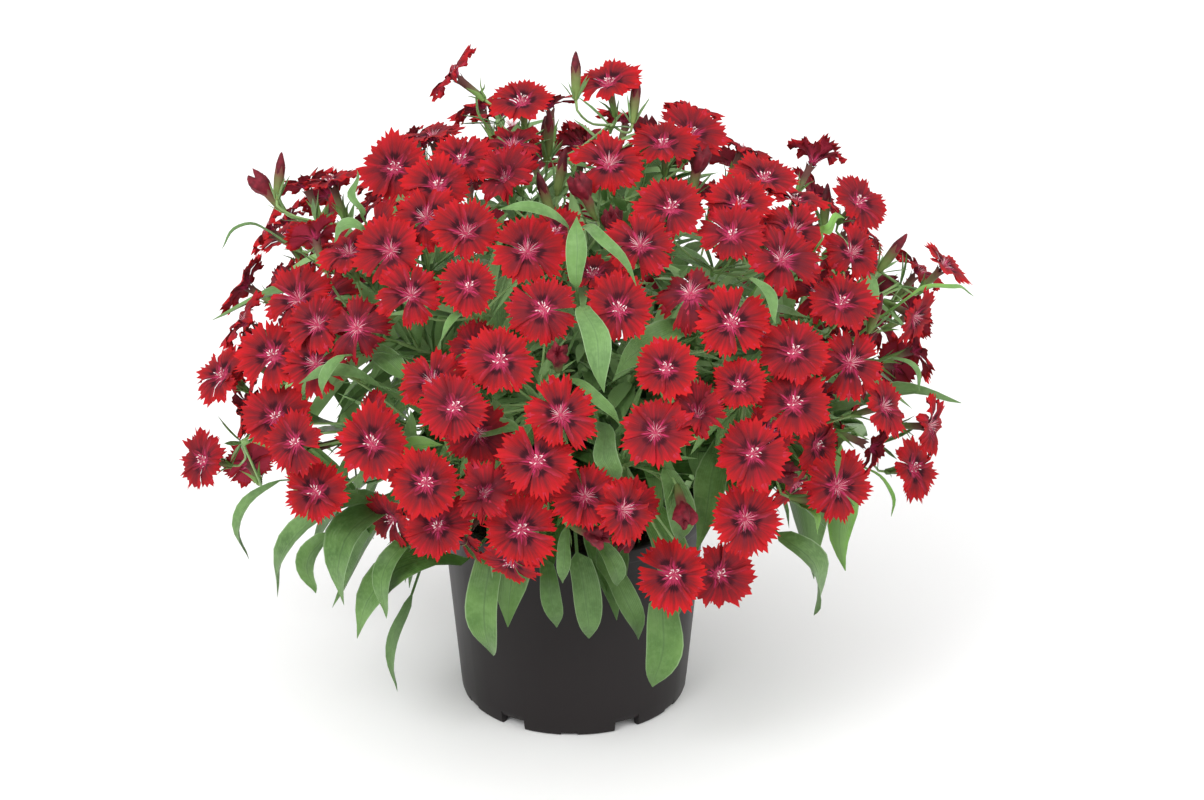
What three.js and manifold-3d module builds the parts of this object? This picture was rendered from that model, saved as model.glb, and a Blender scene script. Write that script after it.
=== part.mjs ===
// A potted dianthus: a bushy plant of fringed five-petalled blooms in a round nursery pot.
// Units are millimetres, +Z is up, -Y is the front, and the origin is the middle of the pot's foot.
import * as THREE from "three";
import Module from "manifold-3d";

const wasm = await Module();
wasm.setup();

const V = (x, y, z) => new THREE.Vector3(x, y, z);
const UP = V(0, 0, 1);

// ---- Pot: thin-walled, tapered, with a turned-out lip, a raised floor and a notched foot ring ----
const POT = {
  height: 113,
  footRadius: 60,
  rimRadius: 70,
  wall: 1.6,
  lipHeight: 9,
  lipOut: 2.2,
  lipSlope: 1.2,
  footWide: 4,
  floorHeight: 6,
  floorThick: 2,
  sides: 32,
};
// Six wide drainage notches in the foot ring, and a shallow slot in the middle of each foot.
const NOTCHES = { count: 6, turn: -32, wide: 14, high: 5.5, slotWide: 9, slotHigh: 1.4, reach: 12 };

// ---- Soil: fills the pot from its floor, with a slightly heaped, lumpy top ----
const SOIL = {
  top: 103,
  heap: 3,
  crest: 0.62,
  gap: 0.3,
  wallGap: 0.65,
  sides: 24,
  lump: 1.6,
  holeRadius: 3,
  holeTall: 40,
};

// ---- Dome: the rounded outline that the open blooms stand on ----
const DOME = { centre: V(0, 2, 195), radii: V(182, 172, 122), sprayDepth: 8 };

// ---- Chart: blooms and leaves are set out on a front chart, right and down from its corner, in
// chart squares. It is read along sight lines from an eye point above and in front of the plant. ----
const CHART = { width: 1204, height: 800, square: 0.5225, eyeDistance: 1800, eyeAngle: 25 };
const CHART_AIM = V(15, 0, 165);

// ---- Flowers: a toothed disc, dished to its throat, on a tubular calyx and a thin pedicel ----
const FLOWER = {
  petals: 5,
  fineCount: 76,
  dish: 2.6,
  thick: 2.0,
  throat: 2.0,
  calyxLength: 17,
  calyxFoot: 1.5,
  pedicel: 0.85,
  sag: 1.3,
};
// The edge of one petal, from the notch before it: bearing, reach as a share of the radius, and lift.
// The blooms that show most have the fine edge.
const FINE_EDGE = [
  [0, 0.68, -0.6], [11, 0.94, 0.2], [22, 0.83, 0],
  [36, 1, 0.5], [50, 0.83, 0], [61, 0.94, 0.2],
];
const PLAIN_EDGE = [[0, 0.72, -0.6], [20, 0.98, 0.3], [36, 0.86, 0], [52, 0.98, 0.3]];
const BUD = { length: 24, calyxFoot: 1.5, belly: 3.2, bellyAt: 0.45 };
// The swollen joint that a bunch's pedicels grow from, just past the end of its stem.
const KNOT = { radius: 2.4, seat: 2.05, gap: 0.3 };

// ---- Stems and leaves: leaves and branches grow from swollen nodes ----
const STEM = {
  foot: 1.9,
  tip: 1.15,
  sides: 4,
  soilGrip: 9,
  upright: 4,
  nodes: [0.1, 0.32, 0.54, 0.76],
  branchNodes: [0.3, 0.65],
  nodeLength: 3.4,
  nodeSwell: 1.3,
  branchAngle: 40,
  branchMore: 0.35,
};
// How far a main stem leans outward above the soil: the first that is clear of the rest is taken.
const MAIN_BENDS = [0.4, 0.2, 0.6, 0, 0.8];
// A leaf wider than broad has three stations along its blade, and a narrower one two.
const LEAF = { thick: 1.0, fold: 0.28, twig: 0.8, broad: 12, least: 1 };
// A leaf grows from a socket that looks its way: the cosine of the angle between them, at least.
const LEAF_OUTLOOK = { shown: 0.25, atNode: 0.5 };
// Nothing comes nearer than this to a neighbour of another node.
const CLEARANCE = 0.45;
// Two pieces of one node that share only an edge may meet in no more than this volume.
const TOUCH = 1e-4;

// Open blooms on the front: chart x, chart y, diameter, and the way it faces: right, up, towards the
// eye. The foremost come first, and later ones give way behind them.
const BLOOMS = [
  [395, 167, 34, -0.15, 0.2, 1], [391, 249, 34, -0.2, 0.15, 1], [358, 326, 35, -0.1, 0.15, 1],
  [528, 249, 35, 0, 0.35, 1], [544, 307, 34, -0.05, 0.2, 1], [619, 307, 34, 0.1, 0.2, 1],
  [500, 358, 34, 0, 0.25, 1], [561, 412, 35, 0.05, 0.2, 1], [655, 429, 34, -0.05, 0.25, 1],
  [752, 451, 34, 0.1, 0.15, 1], [426, 480, 34, -0.1, 0.1, 1], [317, 489, 34, -0.2, 0.1, 1],
  [277, 414, 34, -0.2, 0.15, 1], [484, 491, 35, 0.1, 0.1, 1], [434, 379, 35, -0.1, 0.45, 1],
  [640, 243, 37, 0, 0.45, 1], [690, 290, 37, 0.05, 0.5, 1], [731, 320, 38, 0.15, 0.4, 1],
  [781, 257, 37, 0.2, 0.45, 1], [850, 360, 35, 0.25, 0.25, 1], [665, 366, 32, -0.1, 0.4, 1],
  [793, 400, 36, 0.15, 0.4, 1], [697, 412, 34, 0, 0.5, 1], [745, 517, 36, 0.1, -0.1, 1],
  [837, 484, 36, 0.3, 0, 1], [672, 572, 36, -0.2, -0.05, 1], [720, 572, 34, 0.45, -0.1, 1],
  [626, 507, 34, 0.75, 0, 0.8], [373, 440, 36, -0.1, 0.35, 1], [299, 297, 37, -0.3, 0.35, 1],
  [274, 352, 37, -0.3, 0.4, 1], [222, 372, 33, -0.75, 0.5, 0.8], [203, 458, 34, -0.7, 0.15, 0.75],
  [506, 177, 36, 0, 0.5, 1], [427, 215, 36, -0.1, 0.6, 1], [467, 230, 36, 0, 0.6, 1],
  [522, 99, 34, -0.1, 1.1, 1], [462, 157, 33, 0, 0.8, 1], [433, 133, 33, -0.3, 1.3, 0.35],
  [608, 80, 33, -0.25, 1.2, 0.9], [691, 131, 36, 0.2, 0.9, 1], [609, 161, 36, 0, 0.7, 1],
  [670, 205, 36, 0, 0.6, 1], [738, 201, 34, 0.1, 0.8, 1], [764, 176, 34, 0.3, 1.0, 0.8],
  [731, 232, 33, 0, 0.6, 1], [796, 196, 32, 0.3, 1.3, 0.4], [859, 200, 35, 0.55, 0.55, 0.8],
  [793, 349, 36, 0.1, 0.5, 1], [840, 300, 35, 0.2, 0.7, 1], [537, 458, 35, 0, 0.35, 1],
  [521, 527, 36, 0, 0, 1], [438, 523, 34, -0.1, 0.05, 1], [914, 466, 33, 0.7, 0.1, 0.75],
  [452, 73, 32, -0.95, 0.75, 0.1], [944, 262, 31, 0.7, 0.75, 0.3], [332, 178, 31, -0.35, 1.0, 0.15],
  [268, 227, 31, -0.85, 0.55, 0.12], [915, 318, 31, 0.75, -0.45, 0.5], [316, 233, 29, -0.3, 0.9, -0.4],
  [350, 249, 33, -0.2, 0.9, 1], [470, 284, 29, 0.1, 0.35, 1], [793, 228, 34, 0.2, 0.6, 1],
  [662, 141, 34, -0.1, 1.0, 0.9], [738, 382, 27, 0, 0.45, 1], [439, 183, 34, 0, 0.6, 1],
  [513, 142, 33, 0, 1.1, 0.8], [818, 290, 33, 0.2, 0.7, 0.9], [851, 250, 32, 0.3, 0.5, 0.9],
  [318, 322, 34, -0.3, 0.3, 1], [316, 362, 33, -0.3, 0.1, 1], [250, 460, 30, -0.3, 0.4, -0.6],
  [885, 404, 31, 0.7, 0.2, 0.6], [455, 405, 34, 0.1, 0.2, 1], [585, 493, 33, 0, 0.2, 1],
  [412, 292, 33, -0.1, 0.4, 1], [296, 440, 33, -0.3, 0.1, 1],
];
// How far behind the dome each charted bloom may stand, nearest place first.
const BLOOM_SLIDES = [0, 3, 6, 9, 12, 15, 18, -3, 21, 24, -6, 27, 30, -9, 34, 38, 42, -12, 46, 50];

// Closed buds and spent, folded blooms: chart x and y of the tip, and the way it points: right, up,
// towards the eye.
const BUDS = [
  [576, 52, 0, 1, 0], [284, 152, 0.1, 1, 0], [256, 176, -0.7, 0.8, 0], [549, 110, 0, 1, 0.2],
  [538, 172, -0.3, 0.9, 0.4], [637, 76, 0.1, 1, 0], [826, 183, 0.1, 1, 0], [765, 222, 0.1, 0.8, 0.6],
  [577, 178, -0.4, 0.8, 0.4], [874, 247, 0.2, 1, 0.2], [905, 233, 0.6, 0.8, 0.1], [566, 148, 0.2, 1, 0.2],
  [462, 536, 0, 0.1, 1], [558, 350, 0, 0.4, 1], [700, 150, 0.2, 1, 0.3], [880, 292, 0.2, 0.7, 0.5],
];

// Leaves that show on the front: chart x and y and depth of the base, the same for the tip, width and
// the height of its arch. Depth is the place along Y.
const SHOWN_LEAVES = [
  [469, 556, -78, 359, 635, -96, 14, 26], [414, 531, -88, 388, 615, -104, 12, 12],
  [413, 592, -66, 399, 688, -74, 9, 8], [386, 494, -84, 280, 594, -92, 15, 22],
  [330, 530, -70, 318, 590, -76, 12, 8], [411, 506, -76, 346, 602, -104, 17, 26],
  [282, 478, -72, 252, 557, -82, 8, 14], [494, 548, -100, 494, 652, -104, 21, 12],
  [546, 556, -96, 557, 624, -101, 12, 8], [577, 550, -104, 589, 635, -107, 16, 9],
  [597, 552, -96, 638, 636, -100, 13, 9], [596, 536, -112, 617, 583, -114, 10, 7],
  [662, 590, -98, 652, 683, -101, 19, 9], [776, 530, -70, 812, 612, -84, 17, 13],
  [800, 503, -74, 816, 531, -84, 6, 5], [568, 524, -128, 587, 465, -130, 7, 6],
  [568, 524, -128, 563, 580, -130, 8, 6], [664, 466, -118, 677, 540, -126, 15, 9],
  [583, 304, -128, 604, 391, -164, 15, 12], [690, 326, -108, 615, 373, -120, 15, 10],
  [598, 420, -138, 610, 484, -150, 14, 8], [571, 377, -132, 620, 424, -146, 7, 6],
  [577, 229, -100, 636, 285, -134, 7, 14], [569, 227, -100, 499, 209, -104, 8, 8],
  [577, 286, -112, 577, 216, -98, 11, 5], [381, 384, -104, 301, 382, -106, 10, 10],
  [346, 354, -118, 326, 399, -126, 9, 6], [372, 348, -96, 411, 381, -108, 13, 7],
  [472, 310, -110, 441, 342, -130, 8, 6], [445, 281, -98, 409, 297, -108, 7, 5],
  [370, 232, -70, 336, 242, -72, 10, 8], [364, 216, -60, 359, 170, -54, 7, 4],
  [274, 232, -30, 225, 248, -36, 3.5, 9], [910, 294, -26, 972, 296, -8, 4.5, 7],
  [870, 274, -50, 852, 318, -62, 10, 6], [821, 238, -60, 843, 218, -62, 8, 4],
  [889, 356, -58, 917, 389, -64, 6, 6], [862, 402, -66, 891, 424, -72, 11, 5],
  [862, 402, -66, 822, 416, -72, 9, 5], [862, 465, -52, 889, 514, -56, 4, 7],
  [749, 277, -106, 774, 323, -122, 8, 6], [389, 460, -112, 444, 443, -118, 11, 6],
  [472, 438, -124, 527, 430, -132, 11, 8], [461, 474, -118, 507, 451, -126, 10, 5],
  [499, 421, -136, 494, 396, -138, 9, 4], [421, 452, -112, 412, 408, -110, 7, 4],
  [359, 490, -98, 373, 468, -100, 7, 3], [485, 122, 10, 486, 84, 12, 5, 4],
];
const LEAF_SLIDES = [0, 4, -4, 8, 12, -8, 16, 20, -12, 25, 30, 35, -16, 40, 46, 52, 58];

// The back: blooms spread over the part of the dome that turns away from the eye, each a little off
// its even place and its even facing.
const BACK = {
  spread: 205,
  lowest: -0.4,
  turnedAway: 0.03,
  lift: 0.35,
  diameter: 35,
  offPlace: 9,
  offFacing: 0.3,
};
// Forks, where a stem ends and its bunch of flowers begins: an even spread on an inner dome, and
// some charted ones that carry the sprays standing clear of the bush.
const FORKS = { spread: 40, inner: 0.66, lowest: -0.5 };
const CHARTED_FORKS = [
  [322, 226, 0], [893, 288, 4], [500, 128, 40],
  [610, 132, 30], [250, 440, -20], [872, 440, -10],
];
// What is tried for each flower: the sockets that face it best on the knots nearest to it.
const TRIES = { knots: 3, sockets: 2, leafSockets: 12 };

// Leafy shoots rise from the crown on two rings: ring radius, count and first bearing.
const CROWN = [{ radius: 11, count: 4, bearing: 45 }, { radius: 27, count: 8, bearing: 22 }];
// A fork is fed by the foot nearest to this share of its own distance from the middle.
const CROWN_SHARE = 0.24;
// The leaves of a node pair by its place up the stem: from the broad, hanging lowest ones to the
// short, narrow ones near the flowers.
const NODE_LEAVES = [
  { length: 88, width: 17, droop: 0.65 },
  { length: 76, width: 14, droop: 0.35 },
  { length: 62, width: 12, droop: 0.25 },
  { length: 48, width: 9, droop: 0.2 },
];
// The hanging leaves of the front are charted, so the rest of its leaves droop little.
const FRONT_DROOP = 0.2;
const LEAF_TURNS = [0, 30, -30, 60, -60];

// ------------------------------------------------------------------ chance and directions
// The minimal standard generator, so that every run draws the same numbers.
let seed = 1;
function sow(value) {
  seed = value;
}
function random() {
  seed = (seed * 16807) % 2147483647;
  return seed / 2147483647;
}
const between = (low, high) => low + (high - low) * random();
const about = (off) => V(between(-off, off), between(-off, off), between(-off, off));
const radians = THREE.MathUtils.degToRad;
const mix = THREE.MathUtils.lerp;
const towards = (from, to) => V().subVectors(to, from).normalize();
const middleOf = (points) => points.reduce((sum, p) => sum.add(p), V()).divideScalar(points.length);
const nearest = (list, point, placeOf) =>
  [...list].sort((a, b) => placeOf(a).distanceTo(point) - placeOf(b).distanceTo(point));

// Two directions square to a given one.
function squareTo(axis) {
  const helper = Math.abs(axis.z) > 0.9 ? V(1, 0, 0) : UP;
  const side = V().crossVectors(helper, axis).normalize();
  return [side, V().crossVectors(axis, side)];
}

// Directions along a run of points: forward, sideways and up, carried on without a twist.
function framesAlong(points, firstSide) {
  let side = firstSide;
  return points.map((_, k) => {
    const forward = towards(points[Math.max(0, k - 1)], points[Math.min(points.length - 1, k + 1)]);
    side = side.clone().addScaledVector(forward, -side.dot(forward)).normalize();
    return { forward, side, up: V().crossVectors(forward, side) };
  });
}

function ringAt(centre, { side, up }, radius, sides, turn = 0) {
  return Array.from({ length: sides }, (_, i) => {
    const angle = turn + (2 * Math.PI * i) / sides;
    return centre.clone().addScaledVector(side, radius * Math.cos(angle))
      .addScaledVector(up, radius * Math.sin(angle));
  });
}

// A ring's corners, counted from the one that follows on best from the ring before.
function alignedTo(before, ring) {
  const from = middleOf(before);
  const to = middleOf(ring);
  const match = (turned) =>
    turned.reduce((sum, p, i) => sum + towards(to, p).dot(towards(from, before[i])), 0);
  const turns = ring.map((_, shift) => ring.map((_, i) => ring[(i + shift) % ring.length]));
  return turns.sort((a, b) => match(b) - match(a))[0];
}

// ------------------------------------------------------------------ skins
// A skin is a list of corners and of triangles seen anticlockwise. Its sockets are triangles that
// something else may grow out of: a growth takes a socket's three corners as its first ring.
function newSkin() {
  return { corners: [], faces: [], sockets: [] };
}

function addRing(skin, ring) {
  return ring.map((p) => skin.corners.push(p) - 1);
}

// The band of triangles between two rings of a tube, the second one further on. At a node they are
// sockets.
function band(skin, first, second, node = null) {
  first.forEach((a, i) => {
    const j = (i + 1) % first.length;
    const pair = [[a, first[j], second[j]], [a, second[j], second[i]]];
    if (node) skin.sockets.push(...pair.map((ring) => ({ ring, node, taken: false })));
    else skin.faces.push(...pair);
  });
}

function closeFlat(skin, ring) {
  for (let i = 1; i + 1 < ring.length; i++) skin.faces.push([ring[0], ring[i], ring[i + 1]]);
}

function closeToTip(skin, ring, tip) {
  const [end] = addRing(skin, [tip]);
  ring.forEach((a, i) => skin.faces.push([a, ring[(i + 1) % ring.length], end]));
}

const mouthOf = (skin, socket) => socket.ring.map((i) => skin.corners[i]);
function facingOf([a, b, c]) {
  return V().crossVectors(V().subVectors(b, a), V().subVectors(c, a)).normalize();
}
const facesOf = (skin) => [...skin.faces, ...skin.sockets.filter((s) => !s.taken).map((s) => s.ring)];

function solidOf({ points, faces }) {
  return new wasm.Manifold(
    new wasm.Mesh({
      numProp: 3,
      vertProperties: Float32Array.from(points.flatMap((p) => [p.x, p.y, p.z])),
      triVerts: Uint32Array.from(faces.flat()),
    }),
  );
}
const skinSolid = (skin) => solidOf({ points: skin.corners, faces: facesOf(skin) });

// The points and triangles of a geometry, with the corners that lie on one another made one.
function welded(geometry) {
  const at = geometry.getAttribute("position");
  const numbers = new Map();
  const points = [];
  const cornerOf = Array.from({ length: at.count }, (_, i) => {
    const p = V().fromBufferAttribute(at, i);
    const key = p.toArray().map((c) => Math.round(c * 1e4)).join();
    if (!numbers.has(key)) numbers.set(key, points.push(p) - 1);
    return numbers.get(key);
  });
  const order = geometry.index ? [...geometry.index.array] : cornerOf.map((_, i) => i);
  const faces = [];
  for (let i = 0; i < order.length; i += 3) {
    const face = [0, 1, 2].map((k) => cornerOf[order[i + k]]);
    if (new Set(face).size === 3) faces.push(face);
  }
  return { points, faces };
}

// ------------------------------------------------------------------ chart and dome
const lookDown = radians(CHART.eyeAngle);
const SIGHT = V(0, Math.cos(lookDown), -Math.sin(lookDown));
const CHART_UP = V(0, Math.sin(lookDown), Math.cos(lookDown));
const EYE = CHART_AIM.clone().addScaledVector(SIGHT, -CHART.eyeDistance);

function sightLine(x, y) {
  return SIGHT.clone().multiplyScalar(CHART.eyeDistance / CHART.square)
    .add(V(x - CHART.width / 2, 0, 0))
    .addScaledVector(CHART_UP, CHART.height / 2 - y)
    .normalize();
}

// Where a sight line reaches a given depth.
function atDepth(x, y, depth) {
  const line = sightLine(x, y);
  return EYE.clone().addScaledVector(line, (depth - EYE.y) / line.y);
}

// Where a sight line meets the dome; one that misses it is read at the depth of the sprays.
function onDome(x, y) {
  const line = sightLine(x, y);
  const from = V().subVectors(EYE, DOME.centre).divide(DOME.radii);
  const along = line.clone().divide(DOME.radii);
  const a = along.dot(along);
  const b = from.dot(along);
  const hit = b * b - a * (from.dot(from) - 1);
  if (hit < 0) return atDepth(x, y, DOME.sprayDepth);
  return EYE.clone().addScaledVector(line, (-b - Math.sqrt(hit)) / a);
}

const domeNormal = (p) => V().subVectors(p, DOME.centre).divide(DOME.radii).divide(DOME.radii).normalize();
const onInnerDome = (direction, share) =>
  direction.clone().multiply(DOME.radii).multiplyScalar(share).add(DOME.centre);
const chartDirection = (right, up, toEye) =>
  V(right, 0, 0).addScaledVector(CHART_UP, up).addScaledVector(SIGHT, -toEye).normalize();

// Evenly spread directions, from the top of the dome down to a lowest height.
function spreadDirections(count, lowest) {
  const golden = Math.PI * (3 - Math.sqrt(5));
  return Array.from({ length: count }, (_, i) => {
    const height = 1 - (2 * (i + 0.5)) / count;
    const out = Math.sqrt(1 - height * height);
    return V(out * Math.cos(golden * i), out * Math.sin(golden * i), height);
  }).filter((direction) => direction.z > lowest);
}

// ------------------------------------------------------------------ growth
// Every solid placed so far, with its box and the body (skin) that it belongs to.
const placed = [];

function place(solid, skin) {
  const { min, max } = solid.boundingBox();
  placed.push({ solid, skin, box: new THREE.Box3(V(...min), V(...max)) });
}

// True if a solid meets nothing placed on a skin that the test picks out.
function isClear(solid, picks, room = 0) {
  const { min, max } = solid.boundingBox();
  const box = new THREE.Box3(V(...min), V(...max));
  return placed.filter((item) => picks(item.skin) && item.box.intersectsBox(box))
    .every((item) => item.solid.intersect(solid).volume() <= room);
}

// A growth by itself, closed at its mouth, and fattened all round by swell.
function growthSolid(growth, mouth, swell) {
  const centre = middleOf(mouth);
  const skin = newSkin();
  const ring = addRing(skin, mouth.map((p) => p.clone().addScaledVector(towards(centre, p), swell)));
  closeFlat(skin, [...ring].reverse());
  growth(skin, ring, swell);
  return skinSolid(skin);
}

// Grows out of a socket if that keeps clear of everything else; says whether it did.
function grow(skin, socket, growth) {
  if (socket.taken) return false;
  const mouth = mouthOf(skin, socket);
  const guard = growthSolid(growth, mouth, CLEARANCE);
  if (!(guard.volume() > 0) || !isClear(guard, (other) => other !== skin)) return false;
  const solid = growthSolid(growth, mouth, 0);
  if (!(solid.volume() > 0) || !isClear(solid, (other) => other === skin, TOUCH)) return false;
  place(solid, skin);
  socket.taken = true;
  growth(skin, socket.ring, 0);
  return true;
}

// ------------------------------------------------------------------ stems
// Stations up a curve: its start, a pair close together at each node, and its end.
function stationsAlong(curve, nodes, lowRadius, highRadius) {
  const half = STEM.nodeLength / 2 / curve.getLength();
  const at = (share, swell = 1) => ({
    point: curve.getPointAt(share),
    radius: mix(lowRadius, highRadius, share) * swell,
  });
  const pairs = nodes.flatMap((share, level) => [
    at(share - half, STEM.nodeSwell),
    { ...at(share + half, STEM.nodeSwell), node: { level, forward: curve.getTangentAt(share) } },
  ]);
  return [at(0), ...pairs, at(1)];
}

// A stem through its stations, out of a first ring.
function stemGrowth(stations) {
  return (skin, ring, swell) => {
    const start = ring.map((i) => skin.corners[i]);
    const points = [middleOf(start), ...stations.slice(1).map((s) => s.point)];
    const frames = framesAlong(points, towards(points[0], start[0]));
    let last = ring;
    stations.slice(1).forEach(({ radius, node }, k) => {
      const next = addRing(skin, ringAt(points[k + 1], frames[k + 1], radius + swell, ring.length));
      band(skin, last, next, node);
      last = next;
    });
    closeFlat(skin, last);
  };
}

// A main stem leaves the soil upright and comes to its fork along the dome's outward direction.
function mainCurve(foot, fork, bend) {
  const start = foot.clone().setZ(SOIL.top + STEM.upright);
  const reach = start.distanceTo(fork);
  return new THREE.CubicBezierCurve3(
    start,
    start.clone().add(V(foot.x * bend, foot.y * bend, Math.min(60, 0.4 * reach))),
    fork.clone().addScaledVector(domeNormal(fork), -0.3 * reach).add(V(0, 0, 0.08 * reach)),
    fork,
  );
}

// A branch leaves its socket squarely and turns outward to its own fork.
function branchCurve(mouth, forward, fork) {
  const start = middleOf(mouth);
  const reach = start.distanceTo(fork);
  const leaving = facingOf(mouth).multiplyScalar(Math.sin(radians(STEM.branchAngle)))
    .addScaledVector(forward, Math.cos(radians(STEM.branchAngle)));
  return new THREE.CubicBezierCurve3(
    start,
    start.clone().addScaledVector(leaving, 0.3 * reach),
    fork.clone().addScaledVector(domeNormal(fork), -0.3 * reach),
    fork,
  );
}

// ------------------------------------------------------------------ flowers
// The two rings between a socket and a head: the middle of the pedicel and the calyx's foot.
function pedicelRings(mouth, foot, facing, radii, swell) {
  const start = middleOf(mouth);
  const reach = start.distanceTo(foot);
  const leaving = facingOf(mouth).add(towards(start, foot)).normalize();
  const curve = new THREE.CubicBezierCurve3(
    start,
    start.clone().addScaledVector(leaving, 0.4 * reach),
    foot.clone().addScaledVector(facing, -0.4 * reach),
    foot,
  );
  const points = [start, curve.getPoint(0.5), foot];
  const frames = framesAlong([...points, foot.clone().add(facing)], towards(start, mouth[0]));
  return points.slice(1).map((p, k) => ringAt(p, frames[k + 1], radii[k] + swell, 3));
}

// An open flower: pedicel, calyx, and a thin disc of petals dished in to the throat.
function flowerGrowth({ seat, facing, spin, radius, tilts, edge }) {
  const throat = -FLOWER.dish - FLOWER.thick;
  const foot = seat.clone().addScaledVector(facing, throat - FLOWER.calyxLength);
  const radii = [FLOWER.pedicel, FLOWER.calyxFoot];
  return (skin, ring, swell) => {
    const mouth = ring.map((i) => skin.corners[i]);
    let last = ring;
    for (const next of pedicelRings(mouth, foot, facing, radii, swell)) {
      const added = addRing(skin, next);
      band(skin, last, added);
      last = added;
    }
    let side = towards(foot, skin.corners[last[0]]);
    side = side.addScaledVector(facing, -side.dot(facing)).normalize();
    const up = V().crossVectors(facing, side);
    const at = (bearing, out, lift) => seat.clone().addScaledVector(side, out * Math.cos(bearing))
      .addScaledVector(up, out * Math.sin(bearing)).addScaledVector(facing, lift);
    const top = addRing(skin, ringAt(at(0, 0, throat - swell), { side, up }, FLOWER.throat + swell, 3));
    band(skin, last, top);
    const bearings = [];
    const rim = addRing(skin, tilts.flatMap((tilt, petal) =>
      edge.map(([bearing, reach, lift]) => {
        const bend = mix(tilt, tilts[(petal + 1) % FLOWER.petals], (bearing * FLOWER.petals) / 360);
        bearings.push(spin + radians((petal * 360) / FLOWER.petals + bearing));
        return at(bearings.at(-1), (radius + swell) * reach, lift + bend);
      })));
    const [hub] = addRing(skin, [at(0, 0, -FLOWER.dish + swell)]);
    const under = bearings.map((b) => top[Math.round(b / radians(120)) % 3]);
    rim.forEach((a, i) => {
      const j = (i + 1) % rim.length;
      skin.faces.push([hub, a, rim[j]], [rim[j], a, under[i]]);
      if (under[j] !== under[i]) skin.faces.push([rim[j], under[i], under[j]]);
    });
  };
}

// A closed bud: pedicel, and a spindle whose belly is turned to round it.
function budGrowth({ tip, facing }) {
  const foot = tip.clone().addScaledVector(facing, -BUD.length);
  return (skin, ring, swell) => {
    const mouth = ring.map((i) => skin.corners[i]);
    const rings = pedicelRings(mouth, foot, facing, [FLOWER.pedicel, BUD.calyxFoot], swell);
    const side = towards(foot, rings[1][0]);
    const frame = { side, up: V().crossVectors(facing, side) };
    const belly = foot.clone().addScaledVector(facing, BUD.bellyAt * BUD.length);
    rings.push(ringAt(belly, frame, BUD.belly + swell, 3, Math.PI / 3));
    let last = ring;
    for (const next of rings) {
      const added = addRing(skin, next);
      band(skin, last, added);
      last = added;
    }
    closeToTip(skin, last, tip.clone().addScaledVector(facing, swell));
  };
}

// The knot of a bunch: a small ball of sockets.
function knotSkin(centre, along) {
  const ball = new THREE.IcosahedronGeometry(KNOT.radius, 0);
  ball.applyQuaternion(new THREE.Quaternion().setFromUnitVectors(UP, along)).translate(...centre);
  const { points, faces } = welded(ball);
  return { corners: points, faces: [], sockets: faces.map((ring) => ({ ring, taken: false })) };
}

// ------------------------------------------------------------------ leaves
// The half width of a blade at a share t of its length, as a share of its largest.
const bladeShare = (t) => (0.3 + 0.7 * Math.sin(Math.PI * t ** 0.8)) * (1 - t ** 6);

// A lance-shaped blade that arches from base to tip: two raised edges and a keel. Where its base
// stands off from the stem, a thin twig joins them.
function leafGrowth({ base, crest, tip, width }, shares) {
  const spine = new THREE.QuadraticBezierCurve3(base, crest, tip);
  const side = V().crossVectors(V().subVectors(crest, base), V().subVectors(tip, base)).normalize();
  return (skin, ring, swell) => {
    const mouth = ring.map((i) => skin.corners[i]);
    const start = middleOf(mouth);
    const reach = start.distanceTo(base);
    const twig = new THREE.CubicBezierCurve3(
      start,
      start.clone().addScaledVector(facingOf(mouth), 0.35 * reach),
      base.clone().addScaledVector(towards(crest, base), 0.35 * reach),
      base,
    );
    const twigShares = reach < LEAF.least ? [] : [0.5, 1];
    const stations = twigShares.map((t) => ({ point: twig.getPoint(t), half: LEAF.twig }));
    stations.push(...shares.map((t) => ({ point: spine.getPoint(t), half: (width / 2) * bladeShare(t) })));
    const points = [start, ...stations.map((s) => s.point), tip];
    const frames = framesAlong([...points].reverse(), side).reverse();
    let last = ring;
    stations.forEach(({ point, half }, k) => {
      const out = frames[k + 1].side.clone().multiplyScalar(half + swell);
      const up = frames[k + 1].up.clone().negate();
      const edges = point.clone().addScaledVector(up, LEAF.fold * (half + swell));
      const added = addRing(skin, alignedTo(last.map((i) => skin.corners[i]), [
        edges.clone().add(out),
        edges.clone().sub(out),
        point.clone().addScaledVector(up, -LEAF.thick - swell),
      ]));
      band(skin, last, added);
      last = added;
    });
    closeToTip(skin, last, tip.clone().addScaledVector(towards(crest, tip), swell));
  };
}

// ------------------------------------------------------------------ pot and soil
function potSolid() {
  const p = POT;
  const outer = (z) => mix(p.footRadius, p.rimRadius, z / p.height);
  const lipFoot = p.height - p.lipHeight;
  const top = p.floorHeight + p.floorThick;
  const profile = [
    [0, p.floorHeight],
    [p.footRadius - p.footWide - 1, p.floorHeight],
    [p.footRadius - p.footWide, 0],
    [p.footRadius, 0],
    [outer(lipFoot), lipFoot],
    [outer(lipFoot) + p.lipOut, lipFoot + p.lipSlope],
    [p.rimRadius + p.lipOut, p.height],
    [p.rimRadius - p.wall, p.height],
    [outer(top) - p.wall, top],
    [0, top],
  ].map(([x, y]) => new THREE.Vector2(x, y));
  const body = solidOf(welded(new THREE.LatheGeometry(profile, p.sides).rotateX(Math.PI / 2)));
  const { count, turn, reach } = NOTCHES;
  const kinds = [[0, NOTCHES.wide, NOTCHES.high], [180 / count, NOTCHES.slotWide, NOTCHES.slotHigh]];
  const cuts = Array.from({ length: count }, (_, i) => kinds.map(([offset, wide, high]) => {
    const block = new THREE.BoxGeometry(wide, reach, 2 * high).translate(0, -p.footRadius, 0);
    return solidOf(welded(block.rotateZ(radians(turn + offset + (360 * i) / count))));
  }));
  return cuts.flat().reduce((solid, cut) => solid.subtract(cut), body);
}

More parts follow.
